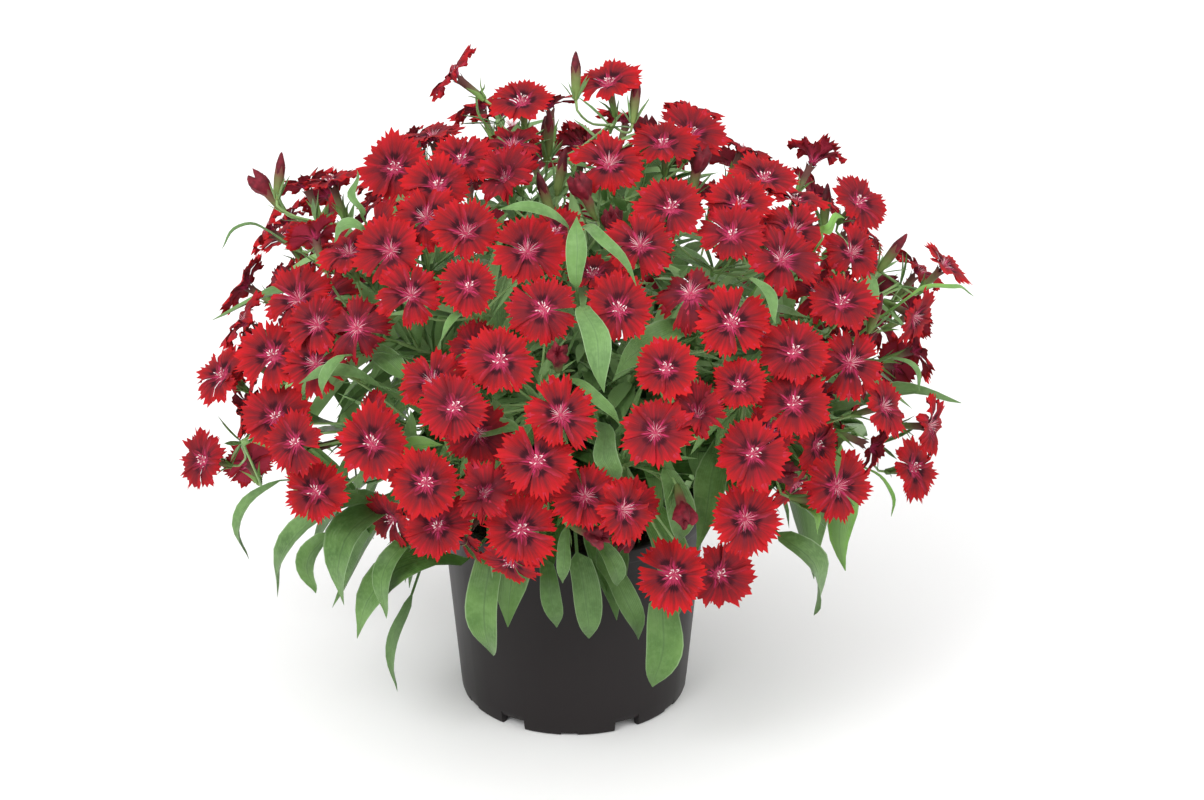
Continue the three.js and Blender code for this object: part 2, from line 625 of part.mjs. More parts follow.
function soilSkin() {
  const bottom = POT.floorHeight + POT.floorThick + SOIL.gap;
  const wallAt = (z) => mix(POT.footRadius, POT.rimRadius, z / POT.height) - POT.wall - SOIL.wallGap;
  const level = { side: V(1, 0, 0), up: V(0, 1, 0) };
  const skin = newSkin();
  const levels = [[bottom, 1], [SOIL.top - 1, 1], [SOIL.top, SOIL.crest]];
  const [floor, edge, crest] = levels.map(([z, share]) =>
    addRing(skin, ringAt(V(0, 0, z), level, wallAt(z) * share, SOIL.sides)));
  sow(41);
  for (const i of crest) skin.corners[i].z += between(0, SOIL.lump);
  band(skin, floor, edge);
  band(skin, edge, crest);
  closeToTip(skin, crest, V(0, 0, SOIL.top + SOIL.heap));
  closeToTip(skin, [...floor].reverse(), V(0, 0, bottom));
  return skin;
}

// ------------------------------------------------------------------ what the plant is to carry
function wantedFlowers() {
  sow(7);
  const front = BLOOMS.map(([x, y, diameter, right, up, toEye]) => ({
    start: onDome(x, y),
    slide: sightLine(x, y),
    facing: chartDirection(right, up, toEye),
    radius: diameter / 2,
  }));
  const back = spreadDirections(BACK.spread, BACK.lowest)
    .map((direction) => onInnerDome(direction, 1))
    .filter((seat) => domeNormal(seat).dot(towards(seat, EYE)) < -BACK.turnedAway)
    .map((seat) => ({
      start: seat.clone().add(about(BACK.offPlace)),
      slide: domeNormal(seat).negate(),
      facing: domeNormal(seat).addScaledVector(UP, BACK.lift).add(about(BACK.offFacing)).normalize(),
      radius: (BACK.diameter / 2) * between(0.9, 1.06),
    }));
  return [...front, ...back].map((flower, i) => ({
    ...flower,
    edge: i < FLOWER.fineCount ? FINE_EDGE : PLAIN_EDGE,
    spin: between(0, 2 * Math.PI),
    tilts: Array.from({ length: FLOWER.petals }, () => between(-FLOWER.sag, FLOWER.sag)),
  }));
}
const calyxFoot = ({ facing }, seat) =>
  seat.clone().addScaledVector(facing, -FLOWER.dish - FLOWER.thick - FLOWER.calyxLength);

// The forks that some flower is nearest to.
function wantedForks(flowers) {
  const even = spreadDirections(FORKS.spread, FORKS.lowest).map((d) => onInnerDome(d, FORKS.inner));
  const places = [...CHARTED_FORKS.map(([x, y, depth]) => atDepth(x, y, depth)), ...even];
  const used = new Set(flowers.map((f) => nearest(places, calyxFoot(f, f.start), (p) => p)[0]));
  return places.filter((place) => used.has(place));
}

// ------------------------------------------------------------------ the shoots
const pot = potSolid();
const soil = soilSkin();
place(pot, pot);
place(skinSolid(soil), soil);

const flowers = wantedFlowers();
const forks = wantedForks(flowers);
const feet = CROWN.flatMap(({ radius, count, bearing }) =>
  Array.from({ length: count }, (_, i) => {
    const turn = radians(bearing + (360 * i) / count);
    return V(radius * Math.cos(turn), radius * Math.sin(turn), SOIL.top - STEM.soilGrip);
  }));
// Each fork is fed by the foot that leans its way.
const forksOf = new Map(feet.map((foot) => [foot, []]));
for (const fork of forks) {
  const lean = fork.clone().setZ(SOIL.top - STEM.soilGrip).multiply(V(CROWN_SHARE, CROWN_SHARE, 1));
  forksOf.get(nearest(feet, lean, (foot) => foot)[0]).push(fork);
}

// The knot past the end of a stem, if there is room for it.
const cymes = [];
function endKnot(stations, fork) {
  const along = towards(stations.at(-2).point, fork);
  const centre = fork.clone().addScaledVector(along, KNOT.seat + KNOT.gap);
  const guard = new THREE.IcosahedronGeometry(KNOT.radius + CLEARANCE, 0).translate(...centre);
  return { centre, along, fits: isClear(solidOf(welded(guard)), () => true) };
}
function addCyme({ centre, along }) {
  const skin = knotSkin(centre, along);
  place(skinSolid(skin), skin);
  cymes.push({ skin, knot: centre });
}

// Stations of the first main stem, of several bends, that is clear of the other shoots.
function mainStations(foot, mouth, fork) {
  return MAIN_BENDS.map((bend) => [
    { point: foot, radius: STEM.foot },
    ...stationsAlong(mainCurve(foot, fork, bend), STEM.nodes, STEM.foot, STEM.tip),
  ]).find((stations) =>
    isClear(growthSolid(stemGrowth(stations), mouth, CLEARANCE), (other) => other !== soil)
    && endKnot(stations, fork).fits);
}

function growBranch(skin, fork) {
  const outlook = (socket) => {
    const mouth = mouthOf(skin, socket);
    const way = towards(middleOf(mouth), fork);
    return facingOf(mouth).dot(way) + 0.6 * socket.node.forward.dot(way);
  };
  return skin.sockets.filter((s) => !s.taken && s.node.level < 3)
    .sort((a, b) => outlook(b) - outlook(a))
    .some((socket) => {
      const curve = branchCurve(mouthOf(skin, socket), socket.node.forward, fork);
      const stations = stationsAlong(curve, STEM.branchNodes, STEM.tip + STEM.branchMore, STEM.tip);
      const knot = endKnot(stations, fork);
      if (!knot.fits || !grow(skin, socket, stemGrowth(stations))) return false;
      addCyme(knot);
      return true;
    });
}

const shoots = [];
for (const [foot, itsForks] of forksOf) {
  if (!itsForks.length) continue;
  const [mainFork, ...others] = nearest(itsForks, middleOf(itsForks), (fork) => fork);
  const mouth = ringAt(foot, { side: V(1, 0, 0), up: V(0, 1, 0) }, STEM.foot, STEM.sides);
  const stations = mainStations(foot, mouth, mainFork);
  const skin = newSkin();
  const base = addRing(skin, mouth);
  closeFlat(skin, [...base].reverse());
  stemGrowth(stations)(skin, base, 0);
  place(skinSolid(skin), skin);
  addCyme(endKnot(stations, mainFork));
  shoots.push(skin);
  for (const fork of others) growBranch(skin, fork);
}

// ------------------------------------------------------------------ the flowers and buds
// Takes the first place, and the nearest of a few knots, where it grows clear of everything.
function settle(footAt, growthAt) {
  return BLOOM_SLIDES.some((s) =>
    nearest(cymes, footAt(s), (cyme) => cyme.knot).slice(0, TRIES.knots).some(({ skin, knot }) => {
      const way = towards(knot, footAt(s));
      const outlook = (socket) => facingOf(mouthOf(skin, socket)).dot(way);
      return skin.sockets.filter((socket) => !socket.taken)
        .sort((a, b) => outlook(b) - outlook(a)).slice(0, TRIES.sockets)
        .some((socket) => grow(skin, socket, growthAt(s)));
    }));
}

for (const flower of flowers) {
  const seatAt = (s) => flower.start.clone().addScaledVector(flower.slide, s);
  settle((s) => calyxFoot(flower, seatAt(s)), (s) => flowerGrowth({ ...flower, seat: seatAt(s) }));
}
for (const [x, y, right, up, toEye] of BUDS) {
  const facing = chartDirection(right, up, toEye);
  const tipAt = (s) => onDome(x, y).addScaledVector(sightLine(x, y), s);
  const footAt = (s) => tipAt(s).addScaledVector(facing, -BUD.length);
  settle(footAt, (s) => budGrowth({ tip: tipAt(s), facing }));
}

// ------------------------------------------------------------------ the leaves
// The sockets of the shoots that look towards a place, nearest first.
function socketsTowards(place) {
  const free = shoots.flatMap((skin) => skin.sockets.filter((socket) => !socket.taken).map((socket) => {
    const mouth = mouthOf(skin, socket);
    const centre = middleOf(mouth);
    return { skin, socket, centre, outlook: facingOf(mouth).dot(towards(centre, place)) };
  }));
  const facing = free.filter(({ outlook }) => outlook > LEAF_OUTLOOK.shown);
  return nearest(facing, place, ({ centre }) => centre).slice(0, TRIES.leafSockets);
}

// A leaf that shows slides along its sight line to where it can grow from a socket nearby.
for (const [bx, by, bDepth, tx, ty, tDepth, width, arch] of SHOWN_LEAVES) {
  const base = atDepth(bx, by, bDepth);
  const tip = atDepth(tx, ty, tDepth);
  const chord = towards(base, tip);
  const outward = V(base.x, base.y, 0).normalize().multiplyScalar(0.6).add(UP);
  outward.addScaledVector(chord, -outward.dot(chord)).normalize();
  const crest = base.clone().lerp(tip, 0.5).addScaledVector(outward, 2 * arch);
  const shares = width > LEAF.broad ? [0.25, 0.5, 0.75] : [0.33, 0.67];
  LEAF_SLIDES.some((s) => {
    const [b, c, t] = [base, crest, tip].map((p) => p.clone().addScaledVector(sightLine(tx, ty), s));
    const growth = leafGrowth({ base: b, crest: c, tip: t, width }, shares);
    return socketsTowards(b).some(({ skin, socket }) => grow(skin, socket, growth));
  });
}

// Opposite leaves at every node, each pair a quarter turn from the last.
function growNodeLeaf(skin, node, bearing, long, slack) {
  const { width, droop } = NODE_LEAVES[node.level];
  const [side, up] = squareTo(node.forward);
  const out = side.multiplyScalar(Math.cos(bearing)).addScaledVector(up, Math.sin(bearing));
  const outlook = (socket) => facingOf(mouthOf(skin, socket)).dot(out);
  const [socket] = skin.sockets.filter((s) => s.node === node && !s.taken)
    .sort((a, b) => outlook(b) - outlook(a));
  if (!socket || outlook(socket) < LEAF_OUTLOOK.atNode) return false;
  const base = middleOf(mouthOf(skin, socket));
  const away = out.multiplyScalar(0.8).addScaledVector(node.forward, 0.6);
  const fall = (away.y < 0 ? FRONT_DROOP : droop) * slack * long;
  const crest = base.clone().addScaledVector(away, 0.55 * long).add(V(0, 0, 0.06 * long));
  const tip = base.clone().addScaledVector(away, long).add(V(0, 0, -fall));
  return grow(skin, socket, leafGrowth({ base, crest, tip, width }, [0.3, 0.65]));
}
sow(23);
for (const skin of shoots)
  for (const node of new Set(skin.sockets.map((socket) => socket.node))) {
    const first = between(0, 360) + 90 * node.level;
    for (const half of [0, 180]) {
      const long = NODE_LEAVES[node.level].length * between(0.8, 1.15);
      const slack = between(0.6, 1.4);
      LEAF_TURNS.some((turn) => growNodeLeaf(skin, node, radians(first + half + turn), long, slack));
    }
  }

// ------------------------------------------------------------------ the finished plant
const PETAL_RED = new THREE.MeshStandardMaterial({ color: 0xb5121b, roughness: 0.6, metalness: 0 });
const LEAF_GREEN = new THREE.MeshStandardMaterial({ color: 0x4f8040, roughness: 0.5, metalness: 0 });
const POT_BLACK = new THREE.MeshStandardMaterial({ color: 0x2a2728, roughness: 0.45, metalness: 0 });
const PEAT_BROWN = new THREE.MeshStandardMaterial({ color: 0x35261c, roughness: 0.95, metalness: 0 });

function meshOf(name, points, faces, material) {
  const geometry = new THREE.BufferGeometry();
  geometry.setAttribute("position", new THREE.Float32BufferAttribute(points, 3));
  geometry.setIndex(faces);
  geometry.computeVertexNormals();
  const mesh = new THREE.Mesh(geometry, material);
  mesh.name = name;
  return mesh;
}
function solidMesh(name, solid, material) {
  const { vertProperties, triVerts } = solid.getMesh();
  return meshOf(name, [...vertProperties], [...triVerts], material);
}
const skinMesh = (name, skin, material) =>
  meshOf(name, skin.corners.flatMap((p) => p.toArray()), facesOf(skin).flat(), material);

// Plain holes in the soil, one for each shoot.
const pierced = feet.filter((foot) => forksOf.get(foot).length).reduce((solid, foot) => {
  const hole = new THREE.CylinderGeometry(SOIL.holeRadius, SOIL.holeRadius, SOIL.holeTall, 6);
  hole.rotateX(Math.PI / 2).translate(foot.x, foot.y, foot.z - SOIL.gap + SOIL.holeTall / 2);
  return solid.subtract(solidOf(welded(hole)));
}, skinSolid(soil));

const plant = new THREE.Group();
const numbered = (name, i) => `${name}_${String(i + 1).padStart(2, "0")}`;
plant.add(solidMesh("pot", pot, POT_BLACK), solidMesh("soil", pierced, PEAT_BROWN));
plant.add(...shoots.map((skin, i) => skinMesh(numbered("shoot", i), skin, LEAF_GREEN)));
const inFlower = cymes.map(({ skin }) => skin).filter((skin) => skin.sockets.some((s) => s.taken));
plant.add(...inFlower.map((skin, i) => skinMesh(numbered("cyme", i), skin, PETAL_RED)));

export default plant;
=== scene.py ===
import math

import bmesh
import bpy
import numpy as np
from mathutils import Matrix, Quaternion, Vector


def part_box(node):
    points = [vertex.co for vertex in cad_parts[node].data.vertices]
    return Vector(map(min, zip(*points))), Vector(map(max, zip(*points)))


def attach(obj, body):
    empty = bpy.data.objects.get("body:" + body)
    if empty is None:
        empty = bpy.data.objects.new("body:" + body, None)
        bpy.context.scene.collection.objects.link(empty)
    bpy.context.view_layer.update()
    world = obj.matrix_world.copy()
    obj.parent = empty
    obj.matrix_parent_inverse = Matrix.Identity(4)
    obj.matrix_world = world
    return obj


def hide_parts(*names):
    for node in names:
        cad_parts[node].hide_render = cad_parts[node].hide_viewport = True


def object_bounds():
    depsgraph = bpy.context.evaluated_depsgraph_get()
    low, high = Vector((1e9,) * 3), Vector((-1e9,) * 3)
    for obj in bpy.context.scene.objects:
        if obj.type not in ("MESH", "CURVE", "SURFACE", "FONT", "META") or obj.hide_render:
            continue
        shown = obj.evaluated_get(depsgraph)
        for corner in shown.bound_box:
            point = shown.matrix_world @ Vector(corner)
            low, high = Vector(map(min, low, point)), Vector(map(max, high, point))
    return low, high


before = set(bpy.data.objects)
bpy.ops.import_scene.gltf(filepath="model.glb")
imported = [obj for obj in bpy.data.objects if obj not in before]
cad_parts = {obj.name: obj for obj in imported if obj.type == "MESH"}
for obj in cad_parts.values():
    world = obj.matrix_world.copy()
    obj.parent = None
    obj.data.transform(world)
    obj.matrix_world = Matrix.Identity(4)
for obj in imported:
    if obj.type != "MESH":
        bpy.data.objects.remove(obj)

cad_low, cad_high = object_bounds()

# ------------------------------------------------------------------ camera
# The plant is seen from the front and a little above, as it would be on a low bench, with the
# whole of it in view.
EYE_DISTANCE = 1.8
EYE_ANGLE = math.radians(25)
AIM = Vector((0.015, 0, 0.166))
FOCAL_LENGTH = 103.8
lens = bpy.data.cameras.new("camera")
lens.sensor_width = 36
lens.lens = FOCAL_LENGTH
camera = bpy.data.objects.new("camera", lens)
camera.location = AIM + EYE_DISTANCE * Vector((0, -math.cos(EYE_ANGLE), math.sin(EYE_ANGLE)))
camera.rotation_euler = (AIM - camera.location).to_track_quat("-Z", "Y").to_euler()
bpy.context.scene.collection.objects.link(camera)
bpy.context.scene.camera = camera
bpy.context.scene.view_settings.view_transform = "Standard"

# ------------------------------------------------------------------ floor and light
# A plain pale floor under an even, soft studio light: a wide lamp up on the left, a weaker one on
# the right, and light from all round.
FLOOR_SIZE = 30.0
SKY_LIGHT = 1.12
LIT_POINT = (0, 0, 0.2)


def new_material(name, **sockets):
    """A material with its Principled shader, whose even values are set on its own sockets."""
    material = bpy.data.materials.new(name)
    material.use_nodes = True
    shader = material.node_tree.nodes["Principled BSDF"]
    for socket, value in sockets.items():
        shader.inputs[socket.replace("_", " ")].default_value = value
    return material, material.node_tree, shader


def add_lamp(name, place, aim, size, power):
    """A square soft box that faces a point."""
    lamp = bpy.data.lights.new(name, "AREA")
    lamp.size = size
    lamp.energy = power
    holder = bpy.data.objects.new(name, lamp)
    holder.location = place
    holder.rotation_euler = (Vector(aim) - Vector(place)).to_track_quat("-Z", "Y").to_euler()
    bpy.context.scene.collection.objects.link(holder)


def linked_object(name, mesh):
    thing = bpy.data.objects.new(name, mesh)
    bpy.context.scene.collection.objects.link(thing)
    return thing


half = FLOOR_SIZE / 2
floor_mesh = bpy.data.meshes.new("floor")
floor_mesh.from_pydata([(-half, -half, 0), (half, -half, 0), (half, half, 0), (-half, half, 0)], [],
                       [(0, 1, 2, 3)])
floor_paper, _, _ = new_material("floor_paper", Base_Color=(0.9, 0.9, 0.9, 1), Roughness=0.9)
floor_mesh.materials.append(floor_paper)
linked_object("floor", floor_mesh)

world = bpy.data.worlds.new("studio")
world.use_nodes = True
world.node_tree.nodes["Background"].inputs["Color"].default_value = (1, 1, 1, 1)
world.node_tree.nodes["Background"].inputs["Strength"].default_value = SKY_LIGHT
bpy.context.scene.world = world
add_lamp("key_light", (-1.3, -1.9, 2.2), LIT_POINT, size=1.4, power=50)
add_lamp("fill_light", (1.9, -1.4, 1.5), LIT_POINT, size=1.8, power=20)

# ------------------------------------------------------------------ the pot
# A round nursery pot, vacuum-formed in thin black plastic, with a turned-out lip. It stands on a
# foot ring that is cut by drainage notches, with a shallow slot in the middle of each foot.
MM = 0.001
pot_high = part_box("pot")[1]
POT_HEIGHT = pot_high.z
LIP_OUT = 2.2 * MM
POT_RIM = pot_high.x - LIP_OUT
POT_FOOT = 60 * MM
POT_WALL = 1.6 * MM
LIP_HEIGHT = 9 * MM
FOOT_WIDE = 4 * MM
FLOOR_HEIGHT = 6 * MM
FLOOR_THICK = 2 * MM
# The notches and then the slots: the bearing from a notch, half the width in degrees, the height.
NOTCHES = [(0, 6.7, 5.5 * MM), (30, 4.3, 1.4 * MM)]
NOTCH_COUNT = 6
NOTCH_STEP = 360 / NOTCH_COUNT
NOTCH_TURN = -122
POT_STEPS = 144
POT_SHARP = math.radians(32)
AXIS_GAP = 0.02 * MM


def polar(radius, turn):
    """The x and y at a distance from the pot's axis and a bearing."""
    return radius * math.cos(turn), radius * math.sin(turn)


def pot_radius(z):
    return POT_FOOT + (POT_RIM - POT_FOOT) * z / POT_HEIGHT


def foot_height(degrees):
    """How high the foot ring's underside lies at a bearing."""
    for offset, half_angle, high in NOTCHES:
        past = (degrees - NOTCH_TURN - offset + NOTCH_STEP / 2) % NOTCH_STEP
        if abs(past - NOTCH_STEP / 2) < half_angle:
            return high
    return 0.0


def notch_edges():
    """Bearings just inside and outside each side of each notch, so that its sides stand upright."""
    return [(NOTCH_TURN + offset + NOTCH_STEP * i + side * (half_angle + step)) % 360
            for offset, half_angle, _ in NOTCHES for i in range(NOTCH_COUNT)
            for side in (-1, 1) for step in (-0.1, 0.1)]


def pot_section(low):
    """The wall's section at one bearing, from the middle of the underside round to the inside."""
    lip_foot = POT_HEIGHT - LIP_HEIGHT
    lip_out = pot_radius(lip_foot) + LIP_OUT
    rim_out, rim_in = POT_RIM + LIP_OUT, POT_RIM - POT_WALL
    floor_top = FLOOR_HEIGHT + FLOOR_THICK
    floor_out = pot_radius(floor_top) - POT_WALL
    foot_in = POT_FOOT - FOOT_WIDE
    wall = (low + 2.5 * MM, 9 * MM, 30 * MM, 60 * MM, 85 * MM, lip_foot - 1 * MM)
    return [
        (AXIS_GAP, FLOOR_HEIGHT), (foot_in - 1 * MM, FLOOR_HEIGHT), (foot_in, low),
        (POT_FOOT - 1.6 * MM, low), (POT_FOOT - 0.4 * MM, max(low, 0.6 * MM)),
        *((pot_radius(z), z) for z in wall),
        (pot_radius(lip_foot) + 0.3 * MM, lip_foot - 0.2 * MM),
        (lip_out - 0.5 * MM, lip_foot + 0.5 * MM), (lip_out, lip_foot + 1.4 * MM),
        (rim_out, POT_HEIGHT - 0.9 * MM), (rim_out - 0.7 * MM, POT_HEIGHT),
        (rim_in + 0.4 * MM, POT_HEIGHT), (rim_in, POT_HEIGHT - 0.6 * MM),
        (pot_radius(60 * MM) - POT_WALL, 60 * MM),
        (floor_out, floor_top + 1 * MM), (floor_out - 1 * MM, floor_top), (AXIS_GAP, floor_top),
    ]


bearings = sorted({*(360 * i / POT_STEPS for i in range(POT_STEPS)), *notch_edges()})
pot_points = [(*polar(radius, math.radians(bearing)), z) for bearing in bearings
              for radius, z in pot_section(foot_height(bearing))]
per_bearing = len(pot_section(0))
pot_faces = []
for i in range(len(bearings)):
    here, there = i * per_bearing, (i + 1) % len(bearings) * per_bearing
    pot_faces += [(here + k, there + k, there + k + 1, here + k + 1)
                  for k in range(per_bearing - 1)]
pot_faces.append([i * per_bearing for i in range(len(bearings))][::-1])
pot_faces.append([(i + 1) * per_bearing - 1 for i in range(len(bearings))])
pot_mesh = bpy.data.meshes.new("nursery_pot")
pot_mesh.from_pydata(pot_points, [], pot_faces)


def add_node(tree, kind, inputs=None, **settings):
    """A node with its settings, and with inputs that are set to a value or linked to a socket."""
    node = tree.nodes.new(kind)
    for label, value in settings.items():
        setattr(node, label, value)
    for socket, value in (inputs or {}).items():
        if isinstance(value, bpy.types.NodeSocket):
            tree.links.new(value, node.inputs[socket])
        else:
            node.inputs[socket].default_value = value
    return node


def noise_node(tree, scale, detail=3.0, stretch=(1, 1, 1)):
    """Noise on the piece's own coordinates, squeezed or stretched along its axes."""
    place = add_node(tree, "ShaderNodeTexCoord").outputs["Object"]
    mapping = add_node(tree, "ShaderNodeMapping", {"Vector": place, "Scale": stretch})
    return add_node(tree, "ShaderNodeTexNoise", {
        "Vector": mapping.outputs["Vector"], "Scale": scale, "Detail": detail}).outputs["Fac"]


def ramp_node(tree, value, stops):
    """A colour for each value, by stops of place and colour."""
    ramp = add_node(tree, "ShaderNodeValToRGB", {"Fac": value})
    points = ramp.color_ramp.elements
    while len(points) < len(stops):
        points.new(0.5)
    for point, (place, colour) in zip(points, stops):
        point.position = place
        point.color = (*colour, 1)
    return ramp.outputs["Color"]


def mix_node(tree, share, first, second):
    """Mixes two colours by a share; each of the three is a socket or a value."""
    first, second = ((*colour, 1) if isinstance(colour, tuple) else colour
                     for colour in (first, second))
    return add_node(tree, "ShaderNodeMix", {0: share, 6: first, 7: second},
                    data_type="RGBA").outputs[2]


def math_node(tree, operation, *values):
    """One sum on sockets or values."""
    return add_node(tree, "ShaderNodeMath", dict(enumerate(values)), operation=operation).outputs[0]


def range_node(tree, value, *span):
    """A value rescaled from one span to another, or to 0 and 1, and held within it."""
    return add_node(tree, "ShaderNodeMapRange", dict(enumerate((value, *span)))).outputs["Result"]


def bump_node(tree, shader, height, depth, strength=1.0):
    """Raises a shader's surface by a height that counts for so many metres."""
    bump = add_node(tree, "ShaderNodeBump",
                    {"Height": height, "Distance": depth, "Strength": strength})
    tree.links.new(bump.outputs["Normal"], shader.inputs["Normal"])


pot_plastic, tree, shader = new_material("pot_plastic", Specular_IOR_Level=0.2)
scuffs = noise_node(tree, 55, 5, (1, 1, 0.12))
haze = noise_node(tree, 9, 2)
tree.links.new(mix_node(tree, range_node(tree, haze, 0.35, 0.7), (0.0110, 0.0085, 0.0088),
                        (0.0150, 0.0120, 0.0124)), shader.inputs["Base Color"])
tree.links.new(range_node(tree, scuffs, 0.3, 0.75, 0.38, 0.5), shader.inputs["Roughness"])
bump_node(tree, shader, noise_node(tree, 900, 2), 0.02 * MM, 0.4)

# An edge that bends more than this stays sharp, as the rim of a thin leaf or petal does.
SHARP_EDGE = math.radians(80)


def finish_piece(name, mesh, material, slot, *nodes, sharp=SHARP_EDGE):
    """Puts a mesh in the scene as a piece that rides on the plant and stands for CAD nodes. It is
    smooth between its sharp edges, or flat-faced where it has no angle for them."""
    if material is not None:
        mesh.materials.clear()
        mesh.materials.append(material)
    if sharp is not None:
        mesh.polygons.foreach_set("use_smooth", [True] * len(mesh.polygons))
        mesh.set_sharp_from_angle(angle=sharp)
    piece = linked_object(name, mesh)
    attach(piece, "root")
    if nodes:
        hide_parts(*nodes)


finish_piece("nursery_pot", pot_mesh, pot_plastic, "pot_plastic", "pot", sharp=POT_SHARP)

# ------------------------------------------------------------------ the soil
# Dark peat fills the pot to a finger's width below its rim, heaped a little at the stems and
# crumbly on top.
SOIL_RINGS = 26
SOIL_STEPS = 96
soil_low, soil_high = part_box("soil")
SOIL_TOP = soil_high.z - 3 * MM
SOIL_HEAP = 2.4 * MM
SOIL_FALL = 1 * MM
SOIL_GAP = 0.65 * MM
LUMP_HEIGHT = 1.3 * MM
CRUMB_COUNT = 420
CRUMB_EDGE = 0.97
CRUMB_SINK = 0.4 * MM
CRUMB_SIZES = (0.5 * MM, 1.9 * MM)
CRUMB_SHARPNESS = (0.6, 0.9, 1.2, 1.5)
dice = np.random.default_rng(11)


def lumps(x, y):
    """The soil's unevenness, as a sum of a few waves."""
    return (0.5 * np.sin(310 * x + 1.3) * np.sin(270 * y) + 0.35 * np.sin(640 * x - 500 * y)
            + 0.2 * np.sin(1130 * y + 870 * x + 0.7)) * LUMP_HEIGHT


soil_edge = pot_radius(SOIL_TOP) - POT_WALL - SOIL_GAP
soil_foot = pot_radius(soil_low.z) - POT_WALL - SOIL_GAP
soil_turns = [2 * math.pi * step / SOIL_STEPS for step in range(SOIL_STEPS)]
soil_points = [(0, 0, SOIL_TOP + SOIL_HEAP)]
for ring in range(1, SOIL_RINGS + 1):
    share = ring / SOIL_RINGS
    heap = SOIL_HEAP * (1 - share ** 2)
    fade = min(1.0, 6 * (1 - share))
    for turn in soil_turns:
        x, y = polar(soil_edge * share, turn)
        soil_points.append((x, y, SOIL_TOP - SOIL_FALL * share + heap + fade * float(lumps(x, y))))
soil_points += [(*polar(soil_foot, turn), soil_low.z) for turn in soil_turns]
soil_faces = [(0, 1 + i, 1 + (i + 1) % SOIL_STEPS) for i in range(SOIL_STEPS)]
for ring in range(SOIL_RINGS):
    inner, outer = 1 + ring * SOIL_STEPS, 1 + (ring + 1) * SOIL_STEPS
    soil_faces += [(inner + i, outer + i, outer + (i + 1) % SOIL_STEPS,
                    inner + (i + 1) % SOIL_STEPS) for i in range(SOIL_STEPS)]
soil_faces.append(list(range(len(soil_points) - SOIL_STEPS, len(soil_points)))[::-1])
soil_mesh = bpy.data.meshes.new("peat")
soil_mesh.from_pydata(soil_points, [], soil_faces)

peat, tree, shader = new_material("peat", Roughness=0.95, Specular_IOR_Level=0.2)
tree.links.new(ramp_node(tree, noise_node(tree, 420, 6), [
    (0.3, (0.012, 0.008, 0.006)), (0.5, (0.035, 0.021, 0.013)), (0.68, (0.075, 0.045, 0.026)),
]), shader.inputs["Base Color"])
bump_node(tree, shader, noise_node(tree, 700, 6), 1.2 * MM)
finish_piece("peat", soil_mesh, peat, "peat", "soil")


def plain_mesh(holder, name):
    """The evaluated result of an object's modifiers as a mesh of its own; the object goes."""
    depsgraph = bpy.context.evaluated_depsgraph_get()
    mesh = bpy.data.meshes.new_from_object(holder.evaluated_get(depsgraph),
                                           preserve_all_data_layers=True, depsgraph=depsgraph)
    mesh.name = name
    bpy.data.objects.remove(holder)
    return mesh


def set_inputs(modifier, **values):
    """Sets a modifier's inputs, found by name and set by identifier."""
    for item in modifier.node_group.interface.items_tree:
        label = item.name.replace(" ", "_")
        if item.in_out == "INPUT" and label in values:
            modifier[item.identifier] = values[label]


def set_out_tree():
    """Sets patterns out on points, each turned, sized and chosen by the point's own attributes."""
    tree = bpy.data.node_groups.new("set_out", "GeometryNodeTree")
    tree.interface.new_socket("Geometry", in_out="OUTPUT", socket_type="NodeSocketGeometry")
    for label, kind in (("Geometry", "Geometry"), ("Patterns", "Collection"), ("Scale", "Float"),
                        ("Finish", "Material")):
        tree.interface.new_socket(label, in_out="INPUT", socket_type="NodeSocket" + kind)
    start, end = tree.nodes.new("NodeGroupInput"), tree.nodes.new("NodeGroupOutput")
    read = {label: add_node(tree, "GeometryNodeInputNamedAttribute", {"Name": label},
                            data_type=kind).outputs["Attribute"]
            for label, kind in (("kind", "INT"), ("turn", "QUATERNION"), ("size", "FLOAT"))}
    patterns = add_node(tree, "GeometryNodeCollectionInfo", {
        "Collection": start.outputs["Patterns"], "Separate Children": True,
        "Reset Children": True})
    scale = add_node(tree, "ShaderNodeMath", {0: read["size"], 1: start.outputs["Scale"]},
                     operation="MULTIPLY")
    place = add_node(tree, "GeometryNodeInstanceOnPoints", {
        "Points": start.outputs["Geometry"], "Instance": patterns.outputs["Instances"],
        "Pick Instance": True, "Instance Index": read["kind"], "Rotation": read["turn"],
        "Scale": scale.outputs["Value"]})
    realize = add_node(tree, "GeometryNodeRealizeInstances",
                       {"Geometry": place.outputs["Instances"]})
    finish = add_node(tree, "GeometryNodeSetMaterial", {
        "Geometry": realize.outputs["Geometry"], "Material": start.outputs["Finish"]})
    tree.links.new(finish.outputs["Geometry"], end.inputs["Geometry"])
    return tree


SET_OUT = set_out_tree()


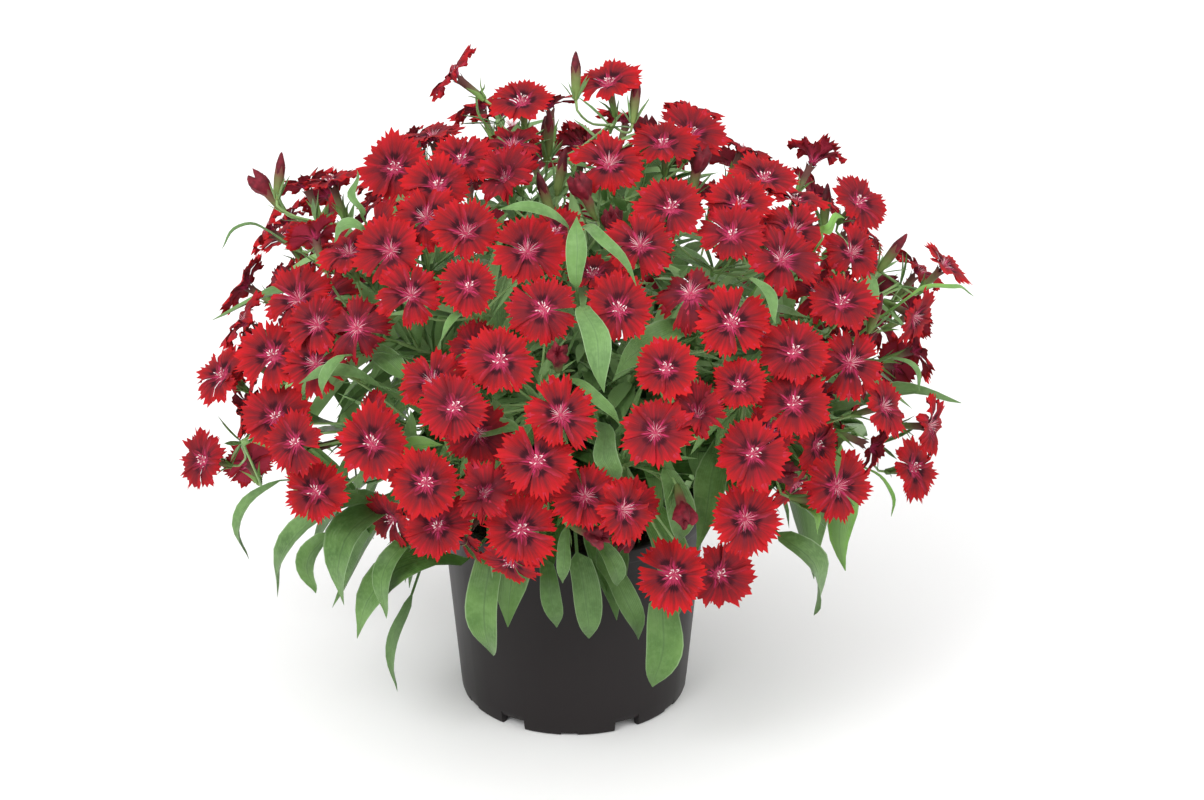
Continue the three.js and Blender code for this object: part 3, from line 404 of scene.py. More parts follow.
def set_out(name, patterns, spots, material, slot, *nodes, sharp=SHARP_EDGE):
    """One piece of patterns on spots of (place, turn, size, kind, age)."""
    folder = bpy.data.collections.new(name + "_patterns")
    bpy.context.scene.collection.children.link(folder)
    models = [bpy.data.objects.new(f"{name}_{i:02d}", mesh) for i, mesh in enumerate(patterns)]
    for model in models:
        folder.objects.link(model)
    points = bpy.data.meshes.new(name + "_spots")
    points.from_pydata([spot[0] for spot in spots], [], [])
    fields = (("turn", "QUATERNION"), ("size", "FLOAT"), ("kind", "INT"), ("age", "FLOAT"))
    for column, (label, kind) in enumerate(fields, 1):
        values = np.array([spot[column] for spot in spots],
                          np.int32 if kind == "INT" else np.float32)
        points.attributes.new(label, kind, "POINT").data.foreach_set("value", values.ravel())
    holder = linked_object(name + "_holder", points)
    modifier = holder.modifiers.new("set_out", "NODES")
    modifier.node_group = SET_OUT
    set_inputs(modifier, Patterns=folder, Scale=1.0, Finish=material)
    mesh = plain_mesh(holder, name)
    for model in models:
        bpy.data.objects.remove(model)
    bpy.data.collections.remove(folder)
    finish_piece(name, mesh, None, slot, *nodes, sharp=sharp)


def crumb_pattern(sharpness):
    """A lump of peat: a ball of few faces with its corners pushed in and out."""
    lump = bmesh.new()
    bmesh.ops.create_icosphere(lump, subdivisions=1, radius=1)
    for corner in lump.verts:
        corner.co *= 1 + sharpness * dice.uniform(-0.35, 0.3)
    mesh = bpy.data.meshes.new("crumb")
    lump.to_mesh(mesh)
    lump.free()
    return mesh


def turned(axis, angle):
    """A turn about an axis, as four numbers."""
    return tuple(Matrix.Rotation(angle, 3, Vector(axis).normalized()).to_quaternion())


crumb_spots = []
for _ in range(CRUMB_COUNT):
    out = soil_edge * CRUMB_EDGE * math.sqrt(dice.random())
    x, y = polar(out, dice.uniform(0, 2 * math.pi))
    z = SOIL_TOP + SOIL_HEAP * (1 - (out / soil_edge) ** 2) + float(lumps(x, y)) - CRUMB_SINK
    crumb_spots.append(((x, y, z), turned(dice.normal(size=3), dice.uniform(0, 3)),
                        dice.uniform(*CRUMB_SIZES), int(dice.integers(len(CRUMB_SHARPNESS))),
                        dice.random()))
crumb_patterns = [crumb_pattern(sharpness) for sharpness in CRUMB_SHARPNESS]
set_out("peat_crumbs", crumb_patterns, crumb_spots, peat, "peat", sharp=None)

# ------------------------------------------------------------------ reading the shoots and bunches
# Every stem, leaf and flower stands where the frame has it: rings of three corners lead from each
# tip or bloom down to the stem or knot that it grows from.
WELD = 0.02 * MM
# The edges that meet at the tip of a leaf or bud, and the least that meet in a bloom's middle.
TIP_SPOKES = 3
HUB_SPOKES = 20
shoot_nodes = sorted(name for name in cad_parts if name.startswith("shoot"))
cyme_nodes = sorted(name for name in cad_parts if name.startswith("cyme"))


def welded(node):
    """A copy of a CAD node's mesh with the corners that lie on one another made one."""
    body = bmesh.new()
    body.from_mesh(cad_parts[node].data)
    bmesh.ops.remove_doubles(body, verts=body.verts, dist=WELD)
    return body


def around(corners):
    """The corners that share an edge with any of these."""
    return {edge.other_vert(corner) for corner in corners for edge in corner.link_edges}


def rings_from(corners):
    """The rings of three corners that lead away from a set of corners, nearest first."""
    seen, rings = set(corners), []
    ring = around(corners) - seen
    while len(ring) == 3:
        rings.append(sorted(ring, key=lambda corner: tuple(corner.co)))
        seen |= ring
        ring = around(ring) - seen
    return rings


def middle(corners):
    return sum((corner.co for corner in corners), Vector()) / len(corners)


# ------------------------------------------------------------------ the leaves
# Dianthus leaves are lance-shaped, opposite and without teeth: a smooth, slightly fleshy grey-green
# blade, folded along a sunken midrib, that arches over and narrows to a point. Those that hang by
# the pot are broader at the foot, and painted a deeper green as shade from the dome above.
LEAF_THICK = 0.55 * MM
LEAF_FOOT = 0.45
LEAF_FOLD = 0.28
LEAF_SWAY = 0.9 * MM
LEAF_WIDEST = 12 * MM
# The share of the frame's width that a leaf gets: above, and by its tip's distance from the axis
# where that tip is low.
UPPER_WIDE = 0.84
LOW_TIP = 120 * MM
LOW_WIDE = [(100 * MM, 0.74), (125 * MM, 1.2)]
BY_POT = 114 * MM
BY_POT_FOOT = 0.72
YOUNG_WIDTH = 6.5 * MM
TWIG_HALF = 0.8 * MM
TIP_HALF = 0.15 * MM
SET_IN = 1.0 * MM
KEEL = 1.0 * MM
LEAF_ROWS = 12
TWIG_ROWS = 4
LEAF_ACROSS = np.array([-1, -0.5, 0, 0.5, 1])
dice = np.random.default_rng(5)


def smooth_path(points, shares):
    """Places along a smooth curve through points, at shares of its chord length."""
    points = np.array([tuple(p) for p in points])
    steps = np.linalg.norm(np.diff(points, axis=0), axis=1)
    knots = np.concatenate([[0], np.cumsum(steps)])
    slopes = np.gradient(points, knots, axis=0)
    at = np.asarray(shares) * knots[-1]
    k = np.clip(np.searchsorted(knots, at, side="right") - 1, 0, len(steps) - 1)
    span = steps[k][:, None]
    t = ((at - knots[k]) / steps[k])[:, None]
    return ((2 * t ** 3 - 3 * t ** 2 + 1) * points[k] + (t ** 3 - 2 * t ** 2 + t) * span * slopes[k]
            + (3 * t ** 2 - 2 * t ** 3) * points[k + 1] + (t ** 3 - t ** 2) * span * slopes[k + 1])


def unit(vectors):
    return vectors / np.maximum(np.linalg.norm(vectors, axis=-1, keepdims=True), 1e-12)


def part_of(points, faces, places, under=0.0, shade=0.0):
    """A part of a mesh, with each corner's shares across and along its blade, its side (1 on the
    under side) and its shade."""
    size = len(points)
    return {"points": np.asarray(points), "faces": faces, "places": np.asarray(places),
            "under": np.broadcast_to(under, size), "shade": np.broadcast_to(shade, size)}


def blade(top, thick, along=None, shade=0.0):
    """A closed thin blade from rows of top corners: its under side meets the top all round."""
    rows, cols = top.shape[:2]
    count = rows * cols
    out = unit(np.cross(np.gradient(top, axis=0), np.gradient(top, axis=1)))
    under = (top - thick * out)[1:-1, 1:-1].reshape(-1, 3)
    upper = np.arange(count).reshape(rows, cols)
    lower = upper.copy()
    lower[1:-1, 1:-1] = count + np.arange(len(under)).reshape(rows - 2, cols - 2)
    faces = []
    for i in range(rows - 1):
        for j in range(cols - 1):
            faces.append((upper[i, j], upper[i + 1, j], upper[i + 1, j + 1], upper[i, j + 1]))
            faces.append((lower[i, j], lower[i, j + 1], lower[i + 1, j + 1], lower[i + 1, j]))
    marks = np.linspace(0, 1, rows) if along is None else along
    places = np.stack(np.meshgrid(np.linspace(0, 1, cols), marks), axis=-1)
    places = np.concatenate([places.reshape(-1, 2), places[1:-1, 1:-1].reshape(-1, 2)])
    return part_of(np.concatenate([top.reshape(-1, 3), under]), faces, places,
                   np.arange(count + len(under)) >= count, shade)


def mesh_of(name, parts):
    """One mesh of many parts, with all that they say of each corner."""
    starts = np.cumsum([0] + [len(part["points"]) for part in parts])
    mesh = bpy.data.meshes.new(name)
    faces = [tuple(int(corner + start) for corner in face) for part, start in zip(parts, starts)
             for face in part["faces"]]
    mesh.from_pydata(np.concatenate([part["points"] for part in parts]).tolist(), [], faces)
    corners = np.zeros(len(mesh.loops), dtype=np.int32)
    mesh.loops.foreach_get("vertex_index", corners)
    places = np.concatenate([part["places"] for part in parts])
    places = places[corners].astype(np.float32)
    mesh.uv_layers.new(name="blade").data.foreach_set("uv", places.ravel())
    for label in ("under", "shade"):
        values = np.concatenate([part[label] for part in parts]).astype(np.float32)
        mesh.attributes.new(label, "FLOAT", "POINT").data.foreach_set("value", values)
    return mesh


def leaf_share(t, foot=LEAF_FOOT):
    """The half width of a leaf at a share of its length, as a share of its largest."""
    t = np.clip(t, 0, 1)
    return (foot + (1 - foot) * np.sin(math.pi * t ** 1.2)) * (1 - t ** 5)


def read_leaf(tip):
    """A leaf's root, its stations from stem to tip (place, way across, way up) and its rings."""
    rings = rings_from([tip])
    stations = []
    for a, b, c in rings[-2::-1]:
        left, right, keel = max(((a, b, c), (b, c, a), (c, a, b)),
                                key=lambda corners: (corners[0].co - corners[1].co).length)
        up = ((left.co + right.co) / 2 - keel.co).normalized()
        stations.append((keel.co + KEEL * up, left.co - right.co, up))
    return middle(rings[-1]), stations, rings


def leaf_part(root, stations, tip, shade):
    """A folded blade along a leaf's stations, on a thin twig where it has more than three."""
    has_twig = len(stations) > 3
    start = root + (root - stations[0][0]).normalized() * SET_IN
    spine = [start, *(station[0] for station in stations), tip]
    steps = np.cumsum([0] + [(b - a).length for a, b in zip(spine, spine[1:])])
    blade_from = steps[2] / steps[-1] if has_twig else 0.0
    shares = np.linspace(blade_from, 1, LEAF_ROWS)
    if has_twig:
        shares = np.concatenate([np.linspace(0, blade_from, TWIG_ROWS, endpoint=False), shares])
    path = smooth_path(spine, shares)
    forward = unit(np.gradient(path, axis=0))
    ups = [stations[0][2], *(station[2] for station in stations), stations[-1][2]]
    up = unit(np.stack([np.interp(shares * steps[-1], steps, [way[k] for way in ups])
                        for k in range(3)], axis=1))
    left = unit(np.cross(up, forward))
    up = np.cross(forward, left)

    low, out = tip.z < LOW_TIP, math.hypot(tip.x, tip.y)
    foot = BY_POT_FOOT if low and out < BY_POT else LEAF_FOOT
    blade_at = (shares - blade_from) / (1 - blade_from)
    stations_at = (steps[1:-1] / steps[-1] - blade_from) / (1 - blade_from)
    widths = [station[1].length / 2 / leaf_share(at, foot)
              for at, station in list(zip(stations_at, stations))[2 if has_twig else 0:]]
    wide = min(max(widths), LEAF_WIDEST) * (np.interp(out, *zip(*LOW_WIDE)) if low else UPPER_WIDE)
    half_width = np.where(blade_at > 0, wide * leaf_share(blade_at, foot), TWIG_HALF)
    half_width = np.maximum(half_width, TIP_HALF)

    blade_at = np.clip(blade_at, 0, 1)
    twist = (np.clip(dice.normal(0, 0.4), -0.7, 0.7) * blade_at ** 2)[:, None]
    left, up = left * np.cos(twist) + up * np.sin(twist), up * np.cos(twist) - left * np.sin(twist)
    path = path + left * (dice.normal(0, 1) * LEAF_SWAY * np.sin(3 * math.pi * blade_at))[:, None]
    fold, phases = LEAF_FOLD + dice.uniform(-0.1, 0.1), dice.uniform(0, 6.28, 2)
    side = np.where(LEAF_ACROSS < 0, *phases)[None, :]
    ripple = np.sin(shares[:, None] * dice.uniform(9, 13) + side)
    wobble = 0.15 * np.sin(shares[:, None] * dice.uniform(6, 9) + 2 * side) + 0.05 * ripple
    lift = (fold + 0.12 * ripple) * np.abs(LEAF_ACROSS) ** 1.25
    across = LEAF_ACROSS * (1 + wobble)
    top = path[:, None, :] + half_width[:, None, None] * (
        across[:, :, None] * left[:, None, :] + lift[:, :, None] * up[:, None, :])
    thick = (LEAF_THICK * (1 - 0.55 * np.abs(LEAF_ACROSS)))[None, :, None]
    return blade(top, thick, shade=shade)


def attribute_node(tree, name):
    return add_node(tree, "ShaderNodeAttribute", attribute_name=name).outputs["Fac"]


def blade_places(tree):
    """Where a point lies on its blade: both shares, how far off the middle, and how far along."""
    uv = add_node(tree, "ShaderNodeUVMap", uv_map="blade").outputs["UV"]
    across, along, _ = add_node(tree, "ShaderNodeSeparateXYZ", {"Vector": uv}).outputs
    aside = math_node(tree, "ABSOLUTE", math_node(tree, "SUBTRACT", across, 0.5))
    return uv, aside, along


def product_node(tree, first, *others):
    """The product of sockets and values."""
    for other in others:
        first = math_node(tree, "MULTIPLY", first, other)
    return first


def layered(tree, colour, *layers):
    """A colour under layers of a share and a colour each."""
    for share, other in layers:
        colour = mix_node(tree, share, colour, other)
    return colour


leaf_green, tree, shader = new_material("leaf", Roughness=0.40, Specular_IOR_Level=0.32)
uv, aside, _ = blade_places(tree)
mottle = noise_node(tree, 420, 5)
blotch = range_node(tree, noise_node(tree, 70, 3), 0.35, 0.62)
age, under = attribute_node(tree, "age"), attribute_node(tree, "under")
spot = add_node(tree, "ShaderNodeTexCoord").outputs["Object"]
x, y, z = add_node(tree, "ShaderNodeSeparateXYZ", {"Vector": spot}).outputs
off_axis = math_node(tree, "POWER", math_node(
    tree, "ADD", product_node(tree, x, x), product_node(tree, y, y)), 0.5)
mature = mix_node(tree, blotch, (0.058, 0.127, 0.031), (0.100, 0.196, 0.055))
young = mix_node(tree, blotch, (0.130, 0.330, 0.030), (0.230, 0.480, 0.065))
green = layered(
    tree, mix_node(tree, attribute_node(tree, "shade"), mature, young),
    # The bloom of wax in specks, the midrib with its paler flanks, and the thin pale edge.
    (range_node(tree, mottle, 0.45, 0.62, 0.0, 0.3), (0.170, 0.310, 0.100)),
    (range_node(tree, aside, 0.10, 0.04, 0.0, 0.15), (0.180, 0.310, 0.110)),
    (range_node(tree, aside, 0.035, 0.010, 0.0, 0.5), (0.045, 0.100, 0.028)),
    (range_node(tree, aside, 0.455, 0.495, 0.0, 0.7), (0.300, 0.420, 0.230)),
    # The paler under side, painted light on the leaves inside and the upper ones, and painted shade
    # by the pot.
    (range_node(tree, under, 0.2, 1.0, 0.0, 0.65), (0.150, 0.275, 0.090)),
    # Painted light: leaves are lifted towards a pale green by their age value, which is high for
    # the inner leaves that lie in the dome's shade.
    (product_node(tree, age, 0.9), (0.370, 0.600, 0.235)),
    # Painted light: leaves high in the dome, shaded by the blooms above, are made paler by height.
    (product_node(tree, range_node(tree, z, 0.13, 0.20, 0.0, 0.38),
                  range_node(tree, age, 0.0, 0.3, 0.4, 1.0)), (0.245, 0.440, 0.165)),
    # Painted shade: leaves close to the pot and below its rim are darkened, as the dome above
    # shades them.
    (product_node(tree, range_node(tree, off_axis, 0.115, 0.130, 0.45, 0.0),
                  range_node(tree, z, 0.115, 0.135, 1.0, 0.0)), (0.052, 0.118, 0.024)),
)
tree.links.new(green, shader.inputs["Base Color"])
veins = add_node(tree, "ShaderNodeTexWave", {"Vector": uv, "Scale": 4.5, "Distortion": 2.5})
height = math_node(tree, "ADD", product_node(tree, veins.outputs["Fac"], 0.5), mottle)
bump_node(tree, shader, height, 0.25 * MM, 0.6)


def by_place(corners):
    """Corners in an order that rests on where they are alone."""
    return sorted(corners, key=lambda corner: tuple(round(part, 5) for part in corner.co))


leaf_parts = {"front": [], "back": []}
leaf_nodes = {"front": set(), "back": set()}
stem_bodies = {}
for node in shoot_nodes:
    body = welded(node)
    spent = set()
    for tip in by_place(corner for corner in body.verts if len(corner.link_edges) == TIP_SPOKES):
        root, stations, rings = read_leaf(tip)
        side = "front" if tip.co.y < 0 else "back"
        narrow = max(station[1].length for station in stations) < YOUNG_WIDTH
        shade = dice.uniform(0.0, 0.15)
        shade += 0.6 if dice.random() < (0.5 if narrow else 0.05) else 0.0
        leaf_parts[side].append(leaf_part(root, stations, tip.co.copy(), shade))
        leaf_nodes[side].add(node)
        spent.add(tip)
        spent.update(corner for ring in rings[:-1] for corner in ring)
    bmesh.ops.delete(body, geom=list(spent), context="VERTS")
    stem_bodies[node] = body
for side, parts in leaf_parts.items():
    finish_piece(f"leaves_{side}", mesh_of(f"leaves_{side}", parts), leaf_green, "leaf",
                 *sorted(leaf_nodes[side]))

# ------------------------------------------------------------------ the stems
# Thin, stiff green stems with a swollen joint at every pair of leaves. They stand close together
# in the soil and branch towards the top, where each branch ends in a fork that carries flowers.
STEM_LEVELS = 2
JOINT_STEP = 9 * MM
# Where small leaves and pedicels can start: a place, the way out from the stem, and along it.
stem_joints = []
whole = bmesh.new()
for node in shoot_nodes:
    body = stem_bodies[node]
    # The leaves' sockets are closed by threes, the way the rings were cut; what is left is closed
    # once the places along the stems are taken.
    bmesh.ops.holes_fill(body, edges=[edge for edge in body.edges if edge.is_boundary], sides=3)
    bmesh.ops.recalc_face_normals(body, faces=body.faces)
    body.normal_update()
    for low in by_place(body.verts):
        for high in by_place(around([low])):
            stretch = high.co - low.co
            if stretch.length > JOINT_STEP and stretch.z > 0:
                for _ in range(int(stretch.length / JOINT_STEP) + 1):
                    share = dice.random()
                    out = low.normal.lerp(high.normal, share)
                    out -= stretch * out.dot(stretch) / stretch.length_squared
                    stem_joints.append((low.co + share * stretch, out.normalized(),
                                        stretch.normalized()))
    bmesh.ops.delete(body, geom=[edge for edge in body.edges if edge.is_wire], context="EDGES")
    bmesh.ops.holes_fill(body, edges=[edge for edge in body.edges if edge.is_boundary])
    bmesh.ops.edgeloop_fill(body, edges=[edge for edge in body.edges if edge.is_boundary])
    bmesh.ops.recalc_face_normals(body, faces=body.faces)
    bmesh.ops.join_triangles(body, faces=body.faces, angle_face_threshold=math.pi,
                             angle_shape_threshold=math.pi)
    part = bpy.data.meshes.new("stem_part")
    body.to_mesh(part)
    whole.from_mesh(part)
    bpy.data.meshes.remove(part)
    body.free()
stem_corners = np.array([tuple(corner.co) for corner in whole.verts])
rough_stems = bpy.data.meshes.new("stems_rough")
whole.to_mesh(rough_stems)
whole.free()
holder = linked_object("stems_holder", rough_stems)
rounding = holder.modifiers.new("rounding", "SUBSURF")
rounding.levels = rounding.render_levels = STEM_LEVELS
stems = plain_mesh(holder, "stems")

stem_green, tree, shader = new_material("stem_green", Roughness=0.45, Specular_IOR_Level=0.4)
tree.links.new(ramp_node(tree, noise_node(tree, 90, 4), [
    (0.3, (0.150, 0.280, 0.085)), (0.55, (0.25, 0.40, 0.140)), (0.8, (0.34, 0.47, 0.21)),
]), shader.inputs["Base Color"])
bump_node(tree, shader, noise_node(tree, 900, 2), 0.05 * MM, 0.5)
finish_piece("stems", stems, stem_green, "leaf", *shoot_nodes)

# ------------------------------------------------------------------ the inner leaves
# Smaller leaves fill the inside of the plant. They grow from the stems below the flowers, point up
# and outwards, and arch a little under their own weight.
INNER_COUNT = 1000
INNER_KINDS = 6
DOME_CENTRE = Vector((0, 2, 195)) * MM
DOME_RADII = Vector((182, 172, 122)) * MM
INNER_LENGTH = (26 * MM, 50 * MM)
INNER_FOOT = 112 * MM
LOW_LEAVES = 170 * MM
LOW_LONGER = 1.5
INNER_EDGE = 0.98
dice = np.random.default_rng(21)


def dome_share(place):
    """How far out in the dome of the plant a place lies, from 0 in its middle to 1 on it."""
    offset = place - DOME_CENTRE
    return math.sqrt(sum((part / radius) ** 2 for part, radius in zip(offset, DOME_RADII)))


def small_leaf(half_width, bend):
    """A lance-shaped leaf of length 1 that grows along +Z and arches to +X, its top side to -X."""
    rows = np.linspace(0, 1, 6)
    half = (half_width * leaf_share(rows) + 0.002)[:, None]
    across = np.array([-1, 0, 1])[None, :]
    arch = (bend * rows ** 2)[:, None]
    top = np.stack([arch - 0.3 * half * np.abs(across), half * across, rows[:, None] + 0 * across],
                   axis=-1)
    return mesh_of("small_leaf", [blade(top, 0.012, shade=dice.uniform(0, 0.25))])


def leaf_turn(way, lean=Vector((0, 0, -1))):
    """The turn that lays a small leaf along a way, with its arch down or towards its lean."""
    arch = (lean - way * lean.dot(way)).normalized()
    return tuple(Matrix((arch, way.cross(arch), way)).transposed().to_quaternion())


inner_spots = []
for pick in dice.permutation(len(stem_joints)):
    foot, out, along = stem_joints[pick]
    way = 0.5 * along + 0.85 * out + Vector(dice.normal(0, 0.15, 3)) + Vector((0, 0, 0.15))
    way.normalize()
    long = dice.uniform(*INNER_LENGTH) * (LOW_LONGER if foot.z < LOW_LEAVES else 1)
    while long > 0.5 * INNER_LENGTH[0] and dome_share(foot + way * long) > INNER_EDGE:
        long *= 0.85
    fits = foot.z > INNER_FOOT and dome_share(foot + way * long) < INNER_EDGE
    if fits and len(inner_spots) < INNER_COUNT:
        # The last value is painted light: read as age by the leaf finish, it lifts these leaves'
        # green where the dome shades them.
        inner_spots.append((tuple(foot - out * 0.5 * MM), leaf_turn(way), long,
                            int(dice.integers(INNER_KINDS)), dice.uniform(0.3, 1)))
inner_patterns = [small_leaf(dice.uniform(0.07, 0.105), dice.uniform(0.05, 0.3))
                  for _ in range(INNER_KINDS)]
set_out("inner_leaves", inner_patterns, inner_spots, leaf_green, "leaf")

# ------------------------------------------------------------------ the leaves over the rim
# The oldest and broadest leaves grow low on the stems. They reach out over the pot's rim all
# the way round, turn over, and hang down in front of its wall.
RIM_COUNT = 50
RIM_GAP = math.radians(5)
RIM_TURNS = [math.radians(angle) for angle in (95, 108, 120, 132)]
RIM_LENGTH = (66 * MM, 105 * MM)
RIM_ROOT = (22 * MM, 70 * MM)
RIM_FOOT = (100 * MM, 168 * MM)
RIM_TIP = 98 * MM
RIM_CLEAR = 3.5 * MM
dice = np.random.default_rng(13)


def hanging_spine(turn):
    """A hanging leaf's middle line in steps, and the way its top side faces at each."""
    rows = np.linspace(0, 1, 10)
    heading = turn * rows ** 0.8
    ways = np.stack([np.sin(heading), 0 * heading, np.cos(heading)], axis=1)
    spine = np.concatenate([[[0, 0, 0]], np.cumsum(np.diff(rows)[:, None] * ways[:-1], axis=0)])
    return rows, spine, np.stack([-np.cos(heading), 0 * heading, np.sin(heading)], axis=1)


def hanging_leaf(half_width, turn):
    """A broad leaf of length 1 that sets off along +Z and turns over towards +X until it hangs."""
    rows, spine, out = hanging_spine(turn)
    half = (half_width * leaf_share(rows) + 0.002)[:, None]
    waves, phases = dice.uniform(8, 12), dice.uniform(0, 6, 2)
    ripple = 0.10 * np.sin(rows[:, None] * waves + np.where(LEAF_ACROSS < 0, *phases))
    side = half * LEAF_ACROSS * (1 + ripple) + 0.03 * dice.normal() * np.sin(3 * rows[:, None])
    lift = half * (0.3 + ripple) * np.abs(LEAF_ACROSS) ** 1.25
    top = (spine[:, None, :] + side[:, :, None] * np.array([0, 1, 0])
           + lift[:, :, None] * out[:, None, :])
    return mesh_of("hanging_leaf", [blade(top, 0.008, shade=dice.uniform(0, 0.2))])


def apart(bearing, other):
    """The angle between two bearings."""
    return abs((bearing - other + math.pi) % (2 * math.pi) - math.pi)


rim_spots, rim_bearings = [], []
for pick in dice.permutation(len(stem_joints)):
    foot = stem_joints[pick][0]
    bearing, out = math.atan2(foot.y, foot.x), math.hypot(foot.x, foot.y)
    grows = RIM_FOOT[0] < foot.z < RIM_FOOT[1] and RIM_ROOT[0] < out < RIM_ROOT[1]
    if not grows or len(rim_spots) == RIM_COUNT:
        continue
    if any(apart(bearing, other) < RIM_GAP for other in rim_bearings):
        continue
    aside = bearing + dice.normal(0, 0.25)
    way = Vector((*polar(1, aside), dice.uniform(0.0, 0.5))).normalized()
    long, kind = dice.uniform(*RIM_LENGTH), int(dice.integers(len(RIM_TURNS)))
    turn = Quaternion(leaf_turn(way))
    line = [foot + turn @ Vector(step) * long for step in hanging_spine(RIM_TURNS[kind])[1]]
    clear = all(math.hypot(place.x, place.y) > POT_RIM + LIP_OUT + RIM_CLEAR for place in line
                if place.z < POT_HEIGHT + RIM_CLEAR)
    if clear and line[-1].z < RIM_TIP:
        # The last value, read as age by the leaf finish, adds a little painted light to the leaf's
        # green.
        rim_spots.append((tuple(foot), tuple(turn), long, kind, dice.uniform(0, 0.1)))
        rim_bearings.append(bearing)
rim_patterns = [hanging_leaf(dice.uniform(0.09, 0.125), turn) for turn in RIM_TURNS]
set_out("rim_leaves", rim_patterns, rim_spots, leaf_green, "leaf")

# ------------------------------------------------------------------ the blooms
# Each bloom has five petals that spread flat from a narrow throat and lap over one another. A petal
# is a velvety fan with a saw-toothed edge: scarlet outside, deeper crimson inside, with a dark
# patch before the throat and pink along its sides.
BLOOM_RADIUS = 17.5 * MM
DISH = 2.6 * MM
DISC_THICK = 2.0 * MM
CALYX_LENGTH = 17 * MM
PETALS = 5
# The rows of a petal: how far out each lies, and its corners on the top and the under side.
PETAL_SHARES = [0.075, 0.24, 0.50, 0.78, 1.0]
PETAL_TOP = [3, 7, 11, 11, 19]
PETAL_UNDER = [3, 3, 5, 7, 19]
PETAL_SPREAD = math.radians(41)
PETAL_THICK = 0.3 * MM
PETAL_LAP = math.radians(5)
# One look a row, from flat to withering: the spread at the edge, how round its corners are, the
# ruffle and the edge's fall.
PETAL_LOOKS = [
    (math.radians(40.5), 0.06, 0.9 * MM, 0.6 * MM), (math.radians(37), 0.07, 1.5 * MM, 1.4 * MM),
    (math.radians(32), 0.08, 1.9 * MM, 2.8 * MM), (math.radians(30), 0.09, 2.6 * MM, 4.5 * MM),
]
LOOSE, WITHERING = 2, 3
# How common each look is, low and high on the plant, and how unevenly its petals stand.
LOOK_SHARES = {"low": (0.32, 0.34, 0.28, 0.06), "high": (0.20, 0.36, 0.35, 0.09)}
HIGH_FROM = 0.7
LOOK_SWAY = (0.03, 0.05, 0.08, 0.18)
PETALS_A_LOOK = 4
# The late blooms and buds, which stand deeper in the dome than the frame's.
LATE_COUNT = 52
LATE_GAP = 21 * MM
LATE_EDGE = (0.80, 0.95)
LATE_FOOT = 120 * MM
LATE_LOWEST = 140 * MM
LATE_REACH = (14.5 * MM, 17 * MM)
LATE_BUDS = 36
BUD_LENGTH = 24 * MM
TOP_BUDS = 318 * MM
dice = np.random.default_rng(3)


def strip(low, high, low_ends=False):
    """Faces between two rows of corners, each with its own number of columns: triangles that stand
    at both ends on the high row, or on the low row where low_ends is true."""
    if len(low) == len(high):
        return [(low[k], high[k], high[k + 1], low[k + 1]) for k in range(len(low) - 1)]
    faces, i, j = [], 0, 0
    while i < len(low) - 1 or j < len(high) - 1:
        on_high = (j + 0.5) / (len(high) - 1) <= (i + 0.5) / (len(low) - 1)
        if low_ends:
            on_high = i > 0 and j < len(high) - 1 and (on_high or i == len(low) - 2)
        if on_high:
            faces.append((low[i], high[j], high[j + 1]))
            j += 1
        else:
            faces.append((low[i], high[j], low[i + 1]))
            i += 1
    return faces


def petal_pattern(edge_spread, rounding, ruffle, fall):
    """A petal that lies along +X and faces +Z, with the bloom's middle at the origin."""
    waves, phase = math.pi * dice.uniform(1.1, 2.1), dice.uniform(0, 6.28)
    edge = PETAL_TOP[-1]
    notch = np.arange(edge) % 2 == 0
    saw = np.where(notch, -dice.uniform(0.06, 0.20, edge), dice.uniform(-0.05, 0.06, edge))
    saw = saw + 0.05 * np.sin(dice.uniform(5, 9) * np.linspace(-1, 1, edge) + dice.uniform(0, 6.28))
    pleat = np.where(notch, -0.15, 0.25) * MM

    def row(share, columns, drop=0.0):
        """The corners of a row, and the shares across and along the petal that they lie at."""
        across = np.linspace(-1, 1, columns)
        side = np.abs(across)
        narrow = min(1.0, max(0.0, (share - 0.2) / 0.55))
        spread = PETAL_SPREAD + (edge_spread - PETAL_SPREAD) * narrow
        reach = BLOOM_RADIUS * share * (1 - rounding * share * side ** 2.4)
        rise = min(1.0, max(0.0, (share - 0.06) / 0.42))
        z = DISH * rise * rise * (3 - 2 * rise) - 14 * MM * max(0.0, 0.17 - share) - drop
        z = z - fall * max(0.0, (share - 0.55) / 0.45) ** 2 * (0.5 + 0.5 * side)
        z = z + ruffle * share ** 2 * np.sin(waves * across + phase) + 0.5 * MM * share * side ** 2
        along = np.full(columns, share)
        if columns == edge:
            across = across + np.concatenate([[0], dice.uniform(-0.045, 0.045, edge - 2), [0]])
            reach, z, along = reach * (1 + saw), z + pleat, share * (1 + saw)
        turn = spread * across
        return (np.stack([reach * np.cos(turn), reach * np.sin(turn), z], axis=1),
                np.stack([(across + 1) / 2, along], axis=1))

    points, places, top = [], [], []
    for share, columns in zip(PETAL_SHARES, PETAL_TOP):
        spots, marks = row(share, columns)
        top.append(list(range(len(points), len(points) + columns)))
        points += list(spots)
        places += list(marks)
    count = len(points)
    low = [top[0]]
    for share, columns, upper in list(zip(PETAL_SHARES, PETAL_UNDER, top))[1:-1]:
        spots, marks = row(share, columns, PETAL_THICK)
        low.append([upper[0], *range(len(points), len(points) + columns - 2), upper[-1]])
        points += list(spots[1:-1])
        places += list(marks[1:-1])
    low.append(top[-1])
    faces = [face for a, b in zip(top, top[1:]) for face in strip(a, b)]
    faces += [face[::-1] for a, b in zip(low, low[1:]) for face in strip(a, b, low_ends=True)]
    return mesh_of("petal", [part_of(points, faces, places, np.arange(len(points)) >= count)])


